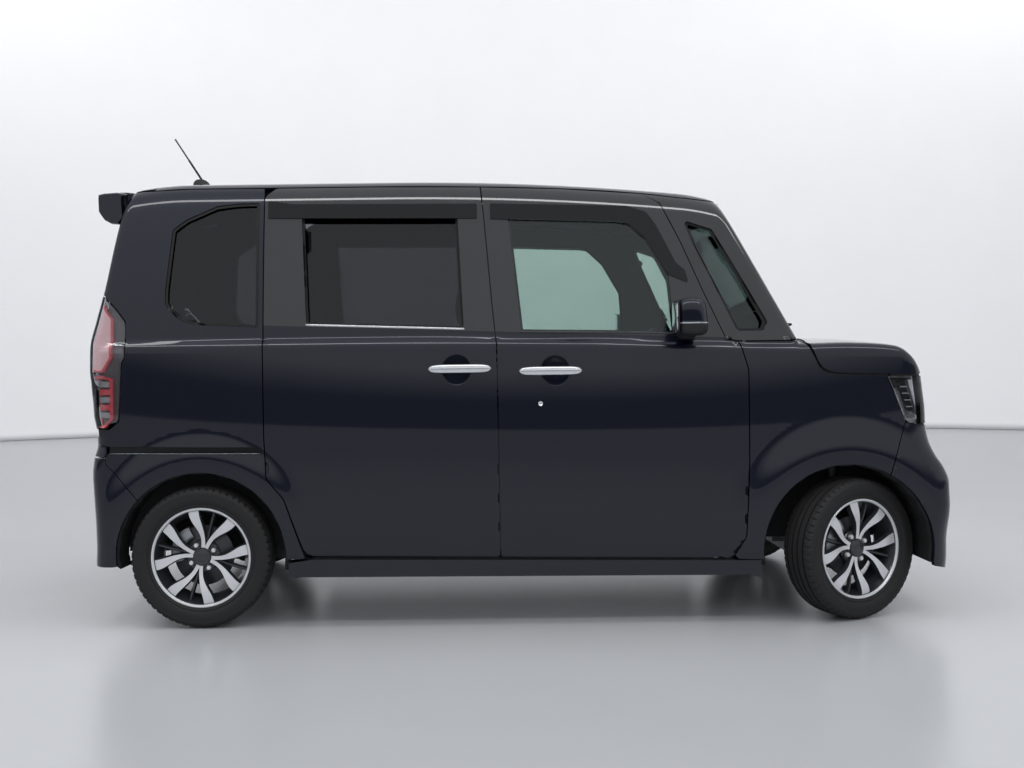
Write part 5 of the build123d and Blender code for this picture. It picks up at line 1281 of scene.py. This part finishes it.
# ---- Door mirrors ----
# Moulded housings: painted cap over a black lower shell, a clear signal strip, and the mirror plate.
MIRROR_AT, MIRROR_HALF = (0.648, -0.811, 1.185), (0.060, 0.0665, 0.074)
signal_clear = finish_of("clear_signal_strip", "#c8ccd1", 0.1, metallic=0.5, second="#aeb3ba",
                         grain_size=0.01, Coat_Weight=1.0)
mirror_silver = finish_of("mirror_silvering", "#dfe3e6", 0.02, metallic=1.0, second="#d5dadd", grain_size=0.3,
                          rough_spread=0.01)


def shell_part(name, low, high, material, grow=0.0):
    """A band of the rounded housing between two heights, as shares of its half height."""
    rows, around, verts = 15, 48, []
    for t in np.linspace(low, high, rows):
        ring = (1 - abs(t) ** 4.5) ** (1 / 3.2)
        for a in once_round(around):
            c, s = math.cos(a), math.sin(a)
            narrow = 1.0 if c < 0 else 1 - 0.18 * abs(s)
            swept_back = 0.008 * t if c > 0 else 0.0
            verts.append((MIRROR_AT[0] + (MIRROR_HALF[0] + grow) * squared(c, 0.62) * ring * narrow - swept_back,
                          MIRROR_AT[1] + (MIRROR_HALF[1] + grow) * squared(s, 0.62) * ring + 0.003 * (1 - t),
                          MIRROR_AT[2] + (MIRROR_HALF[2] + grow) * t))
    return plain_mesh(name, verts, tube_faces(rows, around), material)


mirror_pieces = [shell_part("door_mirror_cap_right", -0.30, 0.985, paint),
                 shell_part("door_mirror_shell_right", -0.985, -0.32, black_plastic, grow=-0.001),
                 shell_part("door_mirror_signal_right", -0.350, -0.285, signal_clear, grow=0.0008)]
plate_section = oval(0.056, 0.059, count=40, power=4)
face_x = MIRROR_AT[0] - MIRROR_HALF[0]
rim_path, plate_path = [[((face_x - 0.0015 * k, MIRROR_AT[1] + 0.002, MIRROR_AT[2]), (0, 1, 0), (0, 0, 1))
                         for k in steps] for steps in ((-3, 0, 1), (0, 1.6))]
rim = swept("door_mirror_rim_right", rim_path, [(a * 1.07, b * 1.07) for a, b in plate_section],
            black_plastic)
mirror_plate = swept("door_mirror_plate_right", plate_path, plate_section, mirror_silver)
stay_path = [((MIRROR_AT[0], y, z), (1, 0, 0), (0, 0.5, 0.87))
             for y, z in ((-0.752, 1.142), (-0.735, 1.128), (-0.716, 1.118), (-0.702, 1.114))]
stay = swept("door_mirror_stay_right", stay_path, oval(0.034, 0.017, count=20, power=3), black_plastic)
both_sides(mirror_pieces + [rim, mirror_plate, stay], FRONT_DOORS)
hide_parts("door_mirror_right")
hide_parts("door_mirror_left")

# ---- Wheels ----
# Cast alloy wheels, 14 inch: dark grey pockets, diamond-turned faces on four tulip pairs of spokes.
pocket_grey = finish_of("dark_grey_wheel_enamel", "#33363b", 0.32, metallic=0.4, second="#2c2f33",
                        grain_size=0.004, Coat_Weight=0.5)
turned_face = finish_of("diamond_turned_alloy", "#d9dbde", 0.30, metallic=0.35, second="#c6c9cd",
                        grain_size=0.0025, rough_spread=0.06, Coat_Weight=0.4, Coat_Roughness=0.08)
disc_steel = finish_of("ground_disc_steel", "#4b4d50", 0.36, metallic=0.6, second="#3f4144", grain_size=0.002)
caliper_grey = finish_of("cast_caliper", "#a4a8ad", 0.45, metallic=0.6, second="#8f9398", grain_size=0.003,
                         depth=0.0002)
tyre_black = finish_of("moulded_tyre_rubber", "#101011", 0.7, second="#161617", grain_size=0.006,
                       depth=0.0001)
SPOKES_AT, STEER = 74.0, math.radians(24.5)
steered = (math.cos(STEER), math.sin(STEER), 0)
WHEELS = [
    # name, body, hub centre, outboard, ahead, body that carries the caliper
    ("front_right", "wheel_fr", (1.2934, -0.6469, 0.275), (math.sin(STEER), -math.cos(STEER), 0), steered,
     "knuckle_r"),
    ("front_left", "wheel_fl", (1.2416, 0.6469, 0.275), (-math.sin(STEER), math.cos(STEER), 0), steered,
     "knuckle_l"),
    ("rear_right", "wheel_rr", (-1.2525, -0.6525, 0.275), (0, -1, 0), (1, 0, 0), "shell"),
    ("rear_left", "wheel_rl", (-1.2525, 0.6525, 0.275), (0, 1, 0), (1, 0, 0), "shell"),
]


def turned_ring(profile, around):
    """A closed (outboard, radius) profile turned once round, in (ahead, up, outboard)."""
    verts = [(r * math.cos(a), r * math.sin(a), h) for a in once_round(around)
             for h, r in profile]
    return verts, grid_faces(around, len(profile), close_cols=True, close_rows=True)


def spoke(angle_at, width_at, start, end, depth, lift, rows=14):
    """One spoke: a flat turned face with drafted sides, following angle_at(radius) in degrees."""
    verts, kinds, faces = [], [], []
    radii = np.linspace(start, end, rows)
    for r in radii:
        a = math.radians(angle_at(r))
        da = math.radians(angle_at(r + 0.002) - angle_at(r - 0.002))
        along = Vector((math.cos(a) * 0.004 - r * math.sin(a) * da,
                        math.sin(a) * 0.004 + r * math.cos(a) * da, 0))
        side = Vector((-along.y, along.x, 0)).normalized()
        centre = Vector((r * math.cos(a), r * math.sin(a), 0))
        w, top = width_at(r) / 2, lift(r)
        for offset, h in ((-w - 0.004, top - depth), (-w, top - 0.0022), (-w + 0.0012, top),
                          (w - 0.0012, top), (w, top - 0.0022), (w + 0.004, top - depth)):
            p = centre + side * offset
            verts.append((p.x, p.y, h))
    for i in range(rows - 1):
        for j in range(6):
            k = (j + 1) % 6
            faces.append((i * 6 + j, i * 6 + k, (i + 1) * 6 + k, (i + 1) * 6 + j))
            kinds.append(1 if j == 2 else 0)
    faces += [(5, 4, 3, 2, 1, 0), tuple((rows - 1) * 6 + j for j in range(6))]
    return verts, faces, kinds + [0, 0]


def spoke_lift(r):
    return 0.0405 + 0.0185 * float(step_between(r, 0.045, 0.150)) - 0.004 * float(step_between(r, 0.165,
                                                                                               0.19))


wheel_verts, wheel_faces, wheel_kinds = [], [], []


def join_in(verts, faces, kinds):
    """Adds geometry to the wheel; each face's kind is 0 for the pocket grey or 1 for the turned face."""
    start = len(wheel_verts)
    wheel_verts.extend(verts)
    wheel_faces.extend([tuple(start + i for i in f) for f in faces])
    wheel_kinds.extend(kinds)


def add_ring(profile, around, kind=0, at=(0.0, 0.0)):
    """Turns a profile and adds it to the wheel, about its axis or about another place on its face."""
    verts, faces = turned_ring(profile, around)
    join_in([(x + at[0], y + at[1], h) for x, y, h in verts], faces, [kind] * len(faces))


barrel = [(0.0600, 0.1945), (0.0560, 0.1880), (0.0440, 0.1835), (0.0200, 0.1700), (-0.0280, 0.1660),
          (-0.0520, 0.1800),
          (-0.0600, 0.1900), (-0.0640, 0.1945), (-0.0645, 0.1915), (-0.0600, 0.1840), (-0.0500, 0.1740),
          (-0.0280, 0.1600), (0.0200, 0.1640), (0.0420, 0.1765), (0.0530, 0.1800), (0.0600, 0.1835)]
add_ring(barrel, 96)
lip_ring = [(0.0600, 0.1945), (0.0645, 0.1948), (0.0668, 0.1925), (0.0664, 0.1880), (0.0630, 0.1845),
            (0.0596, 0.1835)]
add_ring(lip_ring, 96, kind=1)
for quarter_turn in range(4):
    middle = SPOKES_AT + 90 * quarter_turn
    for side in (-1, 1):
        join_in(*spoke(lambda r: middle + side * (9.5 + 15.5 * float(step_between(r, 0.035, 0.175))),
                       lambda r: 0.0170 + 0.0250 * float(step_between(r, 0.065, 0.185)), 0.036, 0.1835, 0.019,
                       spoke_lift))
    verts, faces, kinds = spoke(lambda r: middle, lambda r: 0.0085, 0.040, 0.178, 0.012,
                                lambda r: spoke_lift(r) - 0.014)
    join_in(verts, faces, [0] * len(kinds))
hub_profile = [(-0.030, 0.066), (0.0230, 0.066), (0.0290, 0.060), (0.0300, 0.044), (0.0370, 0.040),
               (0.0370, 0.0335), (-0.030, 0.0335)]
add_ring(hub_profile, 64)
cap_profile = [(0.0, 0.033), (0.0415, 0.0330), (0.0440, 0.0310), (0.0448, 0.0265), (0.0440, 0.0250),
               (0.0446, 0.0235), (0.0466, 0.0120), (0.0472, 0.0005), (0.0, 0.0005)]
add_ring(cap_profile, 48)
BOLT_CIRCLE_R = 0.050
for quarter_turn in range(4):
    a = math.radians(SPOKES_AT + 45 + 90 * quarter_turn)
    bolt_at = (BOLT_CIRCLE_R * math.cos(a), BOLT_CIRCLE_R * math.sin(a))
    add_ring([(0.024, 0.0140), (0.0318, 0.0140), (0.0318, 0.0118), (0.0285, 0.0112), (0.0285, 0.001),
              (0.024, 0.001)],
             24, at=bolt_at)
    add_ring([(0.026, 0.0096), (0.0400, 0.0096), (0.0430, 0.0078), (0.0442, 0.0030), (0.0442, 0.0004),
              (0.026, 0.0004)], 6, kind=1, at=bolt_at)
valve_a = math.radians(SPOKES_AT + 17)
VALVE_AT_R, VALVE_R = 0.158, 0.0035
stem = [(VALVE_AT_R * math.cos(valve_a) + VALVE_R * math.cos(t),
         VALVE_AT_R * math.sin(valve_a) + VALVE_R * math.sin(t), h)
        for h in (0.015, 0.047) for t in once_round(8)]
join_in(stem, tube_faces(2, 8), [0] * 10)

# ---- Tyres ----
# 155/65 R14 radial tyres: four straight grooves, cut shoulder blocks, plain side walls.
TYRE_R, GROOVE_DEEP, BLOCKS, STEPS = 0.2750, 0.0065, 60, 5
outer_wall = [(0.0655, 0.1955), (0.0690, 0.1985), (0.0715, 0.2040), (0.0700, 0.2075), (0.0745, 0.2130),
              (0.0772, 0.2270), (0.0775, 0.2400), (0.0765, 0.2500), (0.0772, 0.2512), (0.0745, 0.2590)]
inner_wall = [(-h, r) for h, r in reversed(outer_wall) if (h, r) not in outer_wall[1:3]]
shoulder = [(0.0712, 0.2655), (0.0650, 0.2695), (0.0560, 0.2722)]
inner_shoulder = [(-h, r) for h, r in reversed(shoulder)]
tread = [(h, TYRE_R - 180.0 * h ** 4 - deep - 0.8 * h ** 2)
         for start, end in ((0.0465, 0.0385), (0.0175, 0.0095), (-0.0095, -0.0175), (-0.0385, -0.0465))
         for h, deep in ((start, 0), (start - 0.0005, GROOVE_DEEP), (end + 0.0005, GROOVE_DEEP), (end, 0))]
tyre_section = outer_wall + shoulder + tread + inner_shoulder + inner_wall + [(-0.030, 0.1958),
                                                                              (0.030, 0.1958)]
around = BLOCKS * STEPS
tyre_verts = []
for i in range(around):
    a = 2 * math.pi * i / around
    for h, r in tyre_section:
        cut = (h, r) in shoulder + inner_shoulder
        deep = 0.0050 if cut and i % STEPS == 0 else 0.0
        slant = 0.010 * h / 0.07 if cut else 0.0
        tyre_verts.append(((r - deep) * math.cos(a + slant), (r - deep) * math.sin(a + slant), h))
tyre_faces = grid_faces(around, len(tyre_section), close_cols=True, close_rows=True)
disc_profile = [(-0.020, 0.060), (0.004, 0.062), (0.006, 0.068), (0.000, 0.074), (0.000, 0.116),
                (-0.002, 0.118), (-0.010, 0.118), (-0.012, 0.116), (-0.012, 0.060)]


def placed(name, verts, faces, place, outboard, ahead, *finishes, smooth=True):
    """Puts (ahead, up, outboard) geometry at its hub, on either side of the car."""
    o, f, up = Vector(outboard), Vector(ahead), Vector((0, 0, 1))
    spun = [Vector(place) + f * x + up * y + o * h for x, y, h in verts]
    flip = f.cross(up).dot(o) < 0
    return plain_mesh(name, spun, [tuple(reversed(face)) if flip else face for face in faces], *finishes,
                      smooth=smooth)


disc_verts, disc_faces = turned_ring(disc_profile, 64)
caliper_section = [(-0.028, 0.084), (0.014, 0.084), (0.020, 0.092), (0.020, 0.118), (0.014, 0.130),
                   (-0.022, 0.133), (-0.030, 0.126)]
caliper_verts = [(r * (1 - 0.05 * abs(t) ** 4) * math.cos(a), r * (1 - 0.05 * abs(t) ** 4) * math.sin(a),
                  h * (1 - 0.2 * t ** 6))
                 for a,
                 t in zip(np.linspace(math.radians(118), math.radians(192), 12), np.linspace(-1, 1, 12))
                 for h, r in caliper_section]
for name, body, place, outboard, ahead, carrier in WHEELS:
    at = (place, outboard, ahead)
    rim = placed(f"alloy_wheel_{name}", wheel_verts, wheel_faces, *at, pocket_grey, turned_face)
    rim.data.polygons.foreach_set("material_index", wheel_kinds)
    tyre = placed(f"road_tyre_{name}", tyre_verts, tyre_faces, *at, tyre_black)
    for piece in (rim, tyre):
        piece.data.set_sharp_from_angle(angle=math.radians(32))
    disc = placed(f"brake_disc_{name}", disc_verts, disc_faces, *at, disc_steel)
    caliper = placed(f"brake_caliper_{name}", caliper_verts, tube_faces(12, len(caliper_section)), *at,
                     caliper_grey, smooth=False)
    mount([rim], body)
    mount([tyre], body)
    mount([disc], body)
    mount([caliper], carrier)
    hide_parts(f"wheel_{name}")
    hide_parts(f"tyre_{name}")

# ---- Wheel arch liners ----
# Moulded black liners with shallow ribs, clipped under the arch edges.
liner_black = finish_of("felted_liner", "#101112", 0.85, second="#17181a", grain_size=0.003, depth=0.0002)
LINER_R, FLANGE_R, BEHIND_SKIN, RIB_DEEP = 0.3285, 0.348, 0.0225, 0.0035
for end, axle_x, inner_y in (("front", FRONT_AXLE, 0.400), ("rear", REAR_AXLE, 0.550)):
    rim_at, rim_out = lay_side(np.array(arc_points(axle_x, -10, 190, count=101)))
    flange_at, flange_out = lay_side(np.array(arc_points(axle_x, -10, 190, radius=FLANGE_R, count=101)))
    rows = []
    for a, edge, flange in zip(np.radians(np.linspace(-10, 190, 101)), rim_at - rim_out * BEHIND_SKIN,
                               flange_at - flange_out * BEHIND_SKIN):
        r = LINER_R - (RIB_DEEP if int(math.degrees(a) // 8) % 2 else 0)
        rows += [tuple(flange)] + [(axle_x + r * math.cos(a), -y, AXLE_Z + r * math.sin(a))
                                   for y in np.linspace(-edge[1], inner_y, 12)]
    liner = plain_mesh(f"{end}_arch_liner_right", rows, grid_faces(101, 13), liner_black)
    both_sides([walled(liner, 0.002, 0)])

# ---- Underbody and running gear ----
# Primed and undersealed steel floor, black-painted subframe and axle, bare castings and a steel exhaust.
underseal = finish_of("stone_chip_underseal", "#1b1c1e", 0.8, second="#242528", grain_size=0.004,
                      depth=0.0004)
chassis_black = finish_of("chassis_black_paint", "#131416", 0.42, second="#1b1c1e", grain_size=0.006,
                          metallic=0.1)
cast_alloy = finish_of("sand_cast_alloy", "#7d8084", 0.55, metallic=0.8, second="#696c70", grain_size=0.003,
                       depth=0.0003)
tank_black = finish_of("blow_moulded_tank", "#17181a", 0.5, second="#1d1e20", grain_size=0.02)
exhaust_steel = finish_of("heated_exhaust_steel", "#8b857c", 0.38, metallic=0.95, second="#6d675f",
                          grain_size=0.03)
wheel_leather = finish_of("steering_wheel_leather", "#17181a", 0.5, second="#1e1f21", grain_size=0.0012,
                          depth=0.0001)
for name, finish in (("floor_pan", underseal), ("front_subframe", chassis_black),
                     ("engine_block", cast_alloy),
                     ("rear_axle", chassis_black), ("fuel_tank", tank_black), ("exhaust", exhaust_steel),
                     ("knuckle_right", cast_alloy), ("knuckle_left", cast_alloy), ("sill_garnish", paint),
                     ("steering_wheel", wheel_leather)):
    dress(name, finish)

# ---- Engine bay and seam backing ----
# Pressed aprons that stand behind the bonnet and wing seams, the rubber along the bonnet's front edge, and the
# slam panel over the grille.
apron = [(1.110, 1.105), (1.175, 1.060), (1.215, 0.995), (1.430, 0.985), (1.470, 0.975), (1.470, 0.900),
         (1.225, 0.900), (1.150, 0.930), (1.10, 0.975)]
apron_right = panel("wing_apron_right", apron, lay_side, cell=0.02, thick=0.004, proud=-0.018,
                    materials=(chassis_black,))
nose_seal = [(front_u(1.440, 0.975), 0.975), (0.0, 0.975), (-front_u(1.440, 0.975), 0.975),
             (-front_u(1.440, 0.930), 0.930), (0.0, 0.930), (front_u(1.440, 0.930), 0.930)]
nose_strip = panel("bonnet_edge_seal", nose_seal, lay_front, cell=0.02, thick=0.004, proud=-0.018,
                   materials=(seal_rubber,))
mount([nose_strip], "shell")
slam = panel("slam_panel",
             [(1.40, -0.66), (1.545, -0.66), (1.590, -0.52), (1.610, 0.0), (1.590, 0.52), (1.545, 0.66),
                            (1.40, 0.66)],
             lambda uv: (np.stack([uv[:, 0], uv[:, 1], np.full(len(uv), 0.9455)], 1),
                         np.tile([0, 0, 1.0], (len(uv), 1))),
             cell=0.03, thick=0.004, materials=(chassis_black,))
mount([slam], "shell")
both_sides([apron_right])

# ---- Roof antenna ----
# Raked rod aerial with a ribbed lower end, screwed into a small moulded foot.
low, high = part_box("roof_antenna")
aerial_x, aerial_y = high[0] - 0.043, (low[1] + high[1]) / 2
base_z = spot(lay_roof, aerial_x, -aerial_y)[0][2] - 0.003
FOOT_LONG, FOOT_WIDE, FOOT_RAKE = 0.074, 0.035, 0.25
rows = [(aerial_x + FOOT_LONG / 2 * share * math.cos(a) - FOOT_RAKE * h,
         aerial_y + FOOT_WIDE / 2 * share * math.sin(a), base_z + h)
        for h,
        share in ((0.0, 1.0), (0.010, 0.97), (0.020, 0.86), (0.028, 0.66), (0.033, 0.40), (0.0345, 0.10))
        for a in once_round(32)]
antenna_foot = plain_mesh("antenna_foot", rows, tube_faces(6, 32), black_plastic)
root = Vector((aerial_x + 0.002, aerial_y, base_z + 0.026))
tip = Vector((low[0] + 0.004, aerial_y, high[2] - 0.003))
lean = (tip - root).normalized()
path = []
for t in np.linspace(0, 1, 60):
    radius = 0.0042 + (0.0006 if int(t * 60) % 2 else 0) if t < 0.5 else 0.0032
    path.append((root.lerp(tip, t), radius if t <= 0.97 else 0.0042))
side_axis = Vector((0, 1, 0))
verts = [p + side_axis * r * math.cos(a) + lean.cross(side_axis) * r * math.sin(a)
         for p, r in path for a in once_round(12)]
mast = plain_mesh("antenna_mast", verts, tube_faces(60, 12), black_plastic)
mount([antenna_foot, mast], "shell")
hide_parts("roof_antenna")

# ---- Seats ----
# Foam cushions under dark woven cloth; piped seams run round each cushion, and posts carry the headrests.
def woven(name, dark, light, thread=0.003):
    """Plain weave drawn at twice its real thread spacing, so that it shows."""
    material, place = bare_material(name)
    warp, weft = [node(material, "ShaderNodeTexWave", [("Vector", place)], bands_direction=runs,
                       Scale=0.16 / thread, Distortion=0.4, Detail=1.0) for runs in ("Y", "DIAGONAL")]
    weave = node(material, "ShaderNodeMath", [(0, warp.outputs["Fac"]), (1, weft.outputs["Fac"])],
                 operation="MULTIPLY")
    tint = node(material, "ShaderNodeMix", [(0, weave.outputs[0]), (6, linear(dark)), (7, linear(light))],
                data_type="RGBA")
    bump = node(material, "ShaderNodeBump", [("Height", weave.outputs[0])], Distance=0.0006, Strength=0.6)
    body = node(material, "ShaderNodeBsdfPrincipled",
                [("Base_Color", tint.outputs[2]), ("Normal", bump.outputs["Normal"])],
                Roughness=0.9, Sheen_Weight=0.3, Sheen_Roughness=0.5)
    node(material, "ShaderNodeOutputMaterial", [("Surface", body.outputs[0])])
    return material


seat_cloth = woven("charcoal_seat_cloth", "#1d1f22", "#33363a")
piping = finish_of("seam_piping", "#3c3f44", 0.75, second="#34373b", grain_size=0.002, depth=0.0001)


SQUARE = 0.30      # how square the pads are: 1 is an ellipse


def cushion(name, centre, half, lean, waist, cap=0.022, voxel=0.016):
    """A crowned closed pad: a squared ovoid leaned about Y, blown up a little as cloth over foam."""
    across, along = 40, 25
    turn = Matrix.Rotation(math.radians(lean), 3, "Y")
    verts = []
    for i in range(along):
        v = -math.pi / 2 + math.pi * i / (along - 1)
        for a in once_round(across):
            cv, sv = abs(math.cos(v)) ** SQUARE, squared(math.sin(v), 0.55)
            x = squared(math.cos(a), SQUARE) * cv
            y = squared(math.sin(a), SQUARE) * cv * (1 - waist * (0.5 + 0.5 * x))
            verts.append(Vector(centre) + turn @ Vector((x * half[0], y * half[1], sv * half[2])))
    pad = plain_mesh(name, verts, grid_faces(along, across, close_cols=True))
    remesh = pad.modifiers.new("even", "REMESH")
    remesh.mode, remesh.voxel_size = "VOXEL", voxel
    settle(pad)
    start = np.array([v.co[:] for v in pad.data.vertices])
    puff = pad.modifiers.new("puff", "CLOTH")
    puff.settings.use_pressure = True
    puff.settings.uniform_pressure_force = 4.0
    puff.settings.effector_weights.gravity = 0.0
    puff.settings.quality = 4
    puff.point_cache.frame_start, puff.point_cache.frame_end = 1, 20
    for step in range(1, 21):
        scene.frame_set(step)
    settle(pad)
    scene.frame_set(1)
    end = np.array([v.co[:] for v in pad.data.vertices])
    move = end - start
    length = np.maximum(np.linalg.norm(move, axis=1, keepdims=True), 1e-9)
    end = start + move * np.minimum(1, cap / length)
    pad.data.vertices.foreach_set("co", end.ravel())
    smoother = pad.modifiers.new("even_out", "SMOOTH")
    smoother.factor, smoother.iterations = 0.5, 6
    settle(pad)
    soften = pad.modifiers.new("soften", "SUBSURF")
    soften.levels = soften.render_levels = 1
    settle(pad)
    pad.data.polygons.foreach_set("use_smooth", [True] * len(pad.data.polygons))
    pad.data.materials.append(seat_cloth)
    return pad


def settle(obj):
    """Applies every modifier to the object's own mesh."""
    shaped = bpy.data.meshes.new_from_object(obj.evaluated_get(bpy.context.evaluated_depsgraph_get()))
    obj.modifiers.clear()
    old = obj.data
    obj.data = shaped
    bpy.data.meshes.remove(old)


def seam(name, pad, centre, half, lean, waist, height=0.55, inset=0.93):
    """Piping that runs round a cushion at one height, laid on its surface."""
    turn = Matrix.Rotation(math.radians(lean), 3, "Y")
    path = []
    for a in once_round(96):
        x = squared(math.cos(a), SQUARE) * inset
        y = squared(math.sin(a), SQUARE) * inset * (1 - waist * (0.5 + 0.5 * x))
        aim = Vector(centre) + turn @ Vector((x * half[0], y * half[1], height * half[2]))
        _, at, normal, _ = pad.closest_point_on_mesh(aim)
        path.append((at - normal * 0.0005, normal))
    framed = []
    for i, (p, n) in enumerate(path):
        along = (path[(i + 1) % len(path)][0] - path[i - 1][0]).normalized()
        framed.append((p, n, along.cross(n).normalized()))
    return swept(name, framed, oval(0.0026, 0.0026, count=8, power=2), piping, closed=True)


SEAT_PADS = [
    # name, centre, half sizes, lean, waist, slot's fill
    ("front_seat_cushion", (0.150, -0.310, 0.600), (0.232, 0.205, 0.052), -5, 0.06, 0.6),
    ("front_seat_back", (-0.125, -0.310, 0.880), (0.256, 0.205, 0.044), -78, 0.10, 0.6),
    ("front_headrest", (-0.208, -0.310, 1.268), (0.082, 0.108, 0.036), -82, 0.05, 0.7),
    ("rear_seat_cushion", (-0.640, -0.262, 0.535), (0.185, 0.245, 0.050), -4, 0.0, 0.6),
    ("rear_seat_back", (-0.880, -0.262, 0.840), (0.240, 0.245, 0.032), -84, 0.0, 0.6),
    ("rear_headrest", (-0.925, -0.310, 1.205), (0.078, 0.108, 0.030), -86, 0.05, 0.7),
]
for name, centre, half, lean, waist, fill in SEAT_PADS:
    pad = cushion(f"{name}_right", centre, half, lean, waist)
    both_sides([pad, seam(f"{name}_piping_right", pad, centre, half, lean, waist)])
    for side in ("right", "left"):
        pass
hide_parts("front_seats")
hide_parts("rear_seat")

# ---- Seat frames ----
# Moulded pedestals and side valances under the cushions, and steel posts for the headrests.
for name, corners, half_y in (
    ("front_seat_base", [(-0.105, 0.308), (0.355, 0.308), (0.375, 0.535), (0.350, 0.575), (-0.060, 0.560),
                         (-0.140, 0.600)], 0.190),
    ("rear_seat_base", [(-0.895, 0.431), (-0.480, 0.308), (-0.465, 0.490), (-0.800, 0.505), (-0.905, 0.520)],
     0.235),
):
    outline = rounded([(x, z, 0.02) for x, z in corners])
    at_y = -0.310 if "front" in name else -0.262
    rows = []
    for y, grow in ((-half_y, -0.012), (-half_y + 0.004, -0.004), (-half_y + 0.014, 0.0),
                    (half_y - 0.014, 0.0), (half_y - 0.004, -0.004), (half_y, -0.012)):
        rows += [(x, at_y + y, z) for x, z in shrunk(outline, -grow)]
    both_sides([plain_mesh(f"{name}_right", rows, tube_faces(6, len(outline)), inner_trim)])
post_steel = finish_of("plated_post_steel", "#b9bdc2", 0.2, metallic=1.0, second="#a5a9ae", grain_size=0.01)
POST_R = 0.0055
for name, (x, z0, z1) in (("front_headrest_post", (-0.196, 1.10, 1.215)),
                          ("rear_headrest_post", (-0.912, 1.04, 1.160))):
    for k, y in enumerate((-0.250, -0.370)):
        both_sides([turned_profile(f"{name}_{k + 1}_right", (x, y, z0), (-0.12, 0, 1),
                                   [(0, POST_R), (z1 - z0, POST_R)], post_steel, around=12)])

# ---- Dashboard ----
# Soft-grained moulding with a shelf along it, a meter hood, a blank centre screen and round vents.
dash_soft = finish_of("soft_grain_dashboard", "#1f2124", 0.7, second="#26282b", grain_size=0.0015,
                      depth=0.00012)
dash_outline = rounded([(0.890, 0.705, 0.01), (0.890, 1.046, 0.015), (0.742, 1.066, 0.04),
                        (0.648, 1.000, 0.04),
                        (0.662, 0.905, 0.03), (0.735, 0.880, 0.02), (0.742, 0.830, 0.02),
                        (0.684, 0.800, 0.02), (0.690, 0.722, 0.03)])
rows = []
for y in np.linspace(-0.517, 0.517, 31):
    edge = max(0.0, (abs(y) - 0.500) / 0.017) ** 2 * 0.010
    rows += [(x, y, z) for x, z in shrunk(dash_outline, edge)]
dash = plain_mesh("dashboard_moulding", rows, tube_faces(31, len(dash_outline)), dash_soft)
dash.data.set_sharp_from_angle(angle=math.radians(40))
screen_face = turned_profile("centre_screen", (0.640, 0.0, 0.985), (-0.97, 0, 0.24),
                             [(0.0, 0.002), (0.0, 0.090), (0.012, 0.090), (0.013, 0.002)], gloss_black,
                             around=4)
HOOD_AT, HOOD_HALF = (0.660, -0.330, 1.040), (0.150, 0.050)
hood = plain_mesh("meter_hood",
                  [(HOOD_AT[0] + ahead, HOOD_AT[1] + scale * HOOD_HALF[0] * squared(math.cos(a), 0.6),
                                  HOOD_AT[2] + scale * HOOD_HALF[1] * squared(math.sin(a), 0.6))
                                 for ahead, scale in ((0.0, 1.0), (0.05, 0.97), (0.11, 0.80), (0.15, 0.3))
                                 for a in once_round(32)], tube_faces(4, 32, flip=True), dash_soft)
vent_profile = [(-0.01, 0.034), (0.012, 0.036), (0.016, 0.033), (0.006, 0.028), (0.006, 0.006),
                (0.012, 0.005), (0.013, 0.001)]
vents = [turned_profile(f"air_vent_{k + 1}", (0.652, y, 0.985), (-0.95, 0, 0.3), vent_profile, satin_bezel)
         for k, y in enumerate((-0.478, -0.150, 0.150, 0.478))]
mount([dash, screen_face, hood] + vents, "shell")
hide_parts("dashboard")
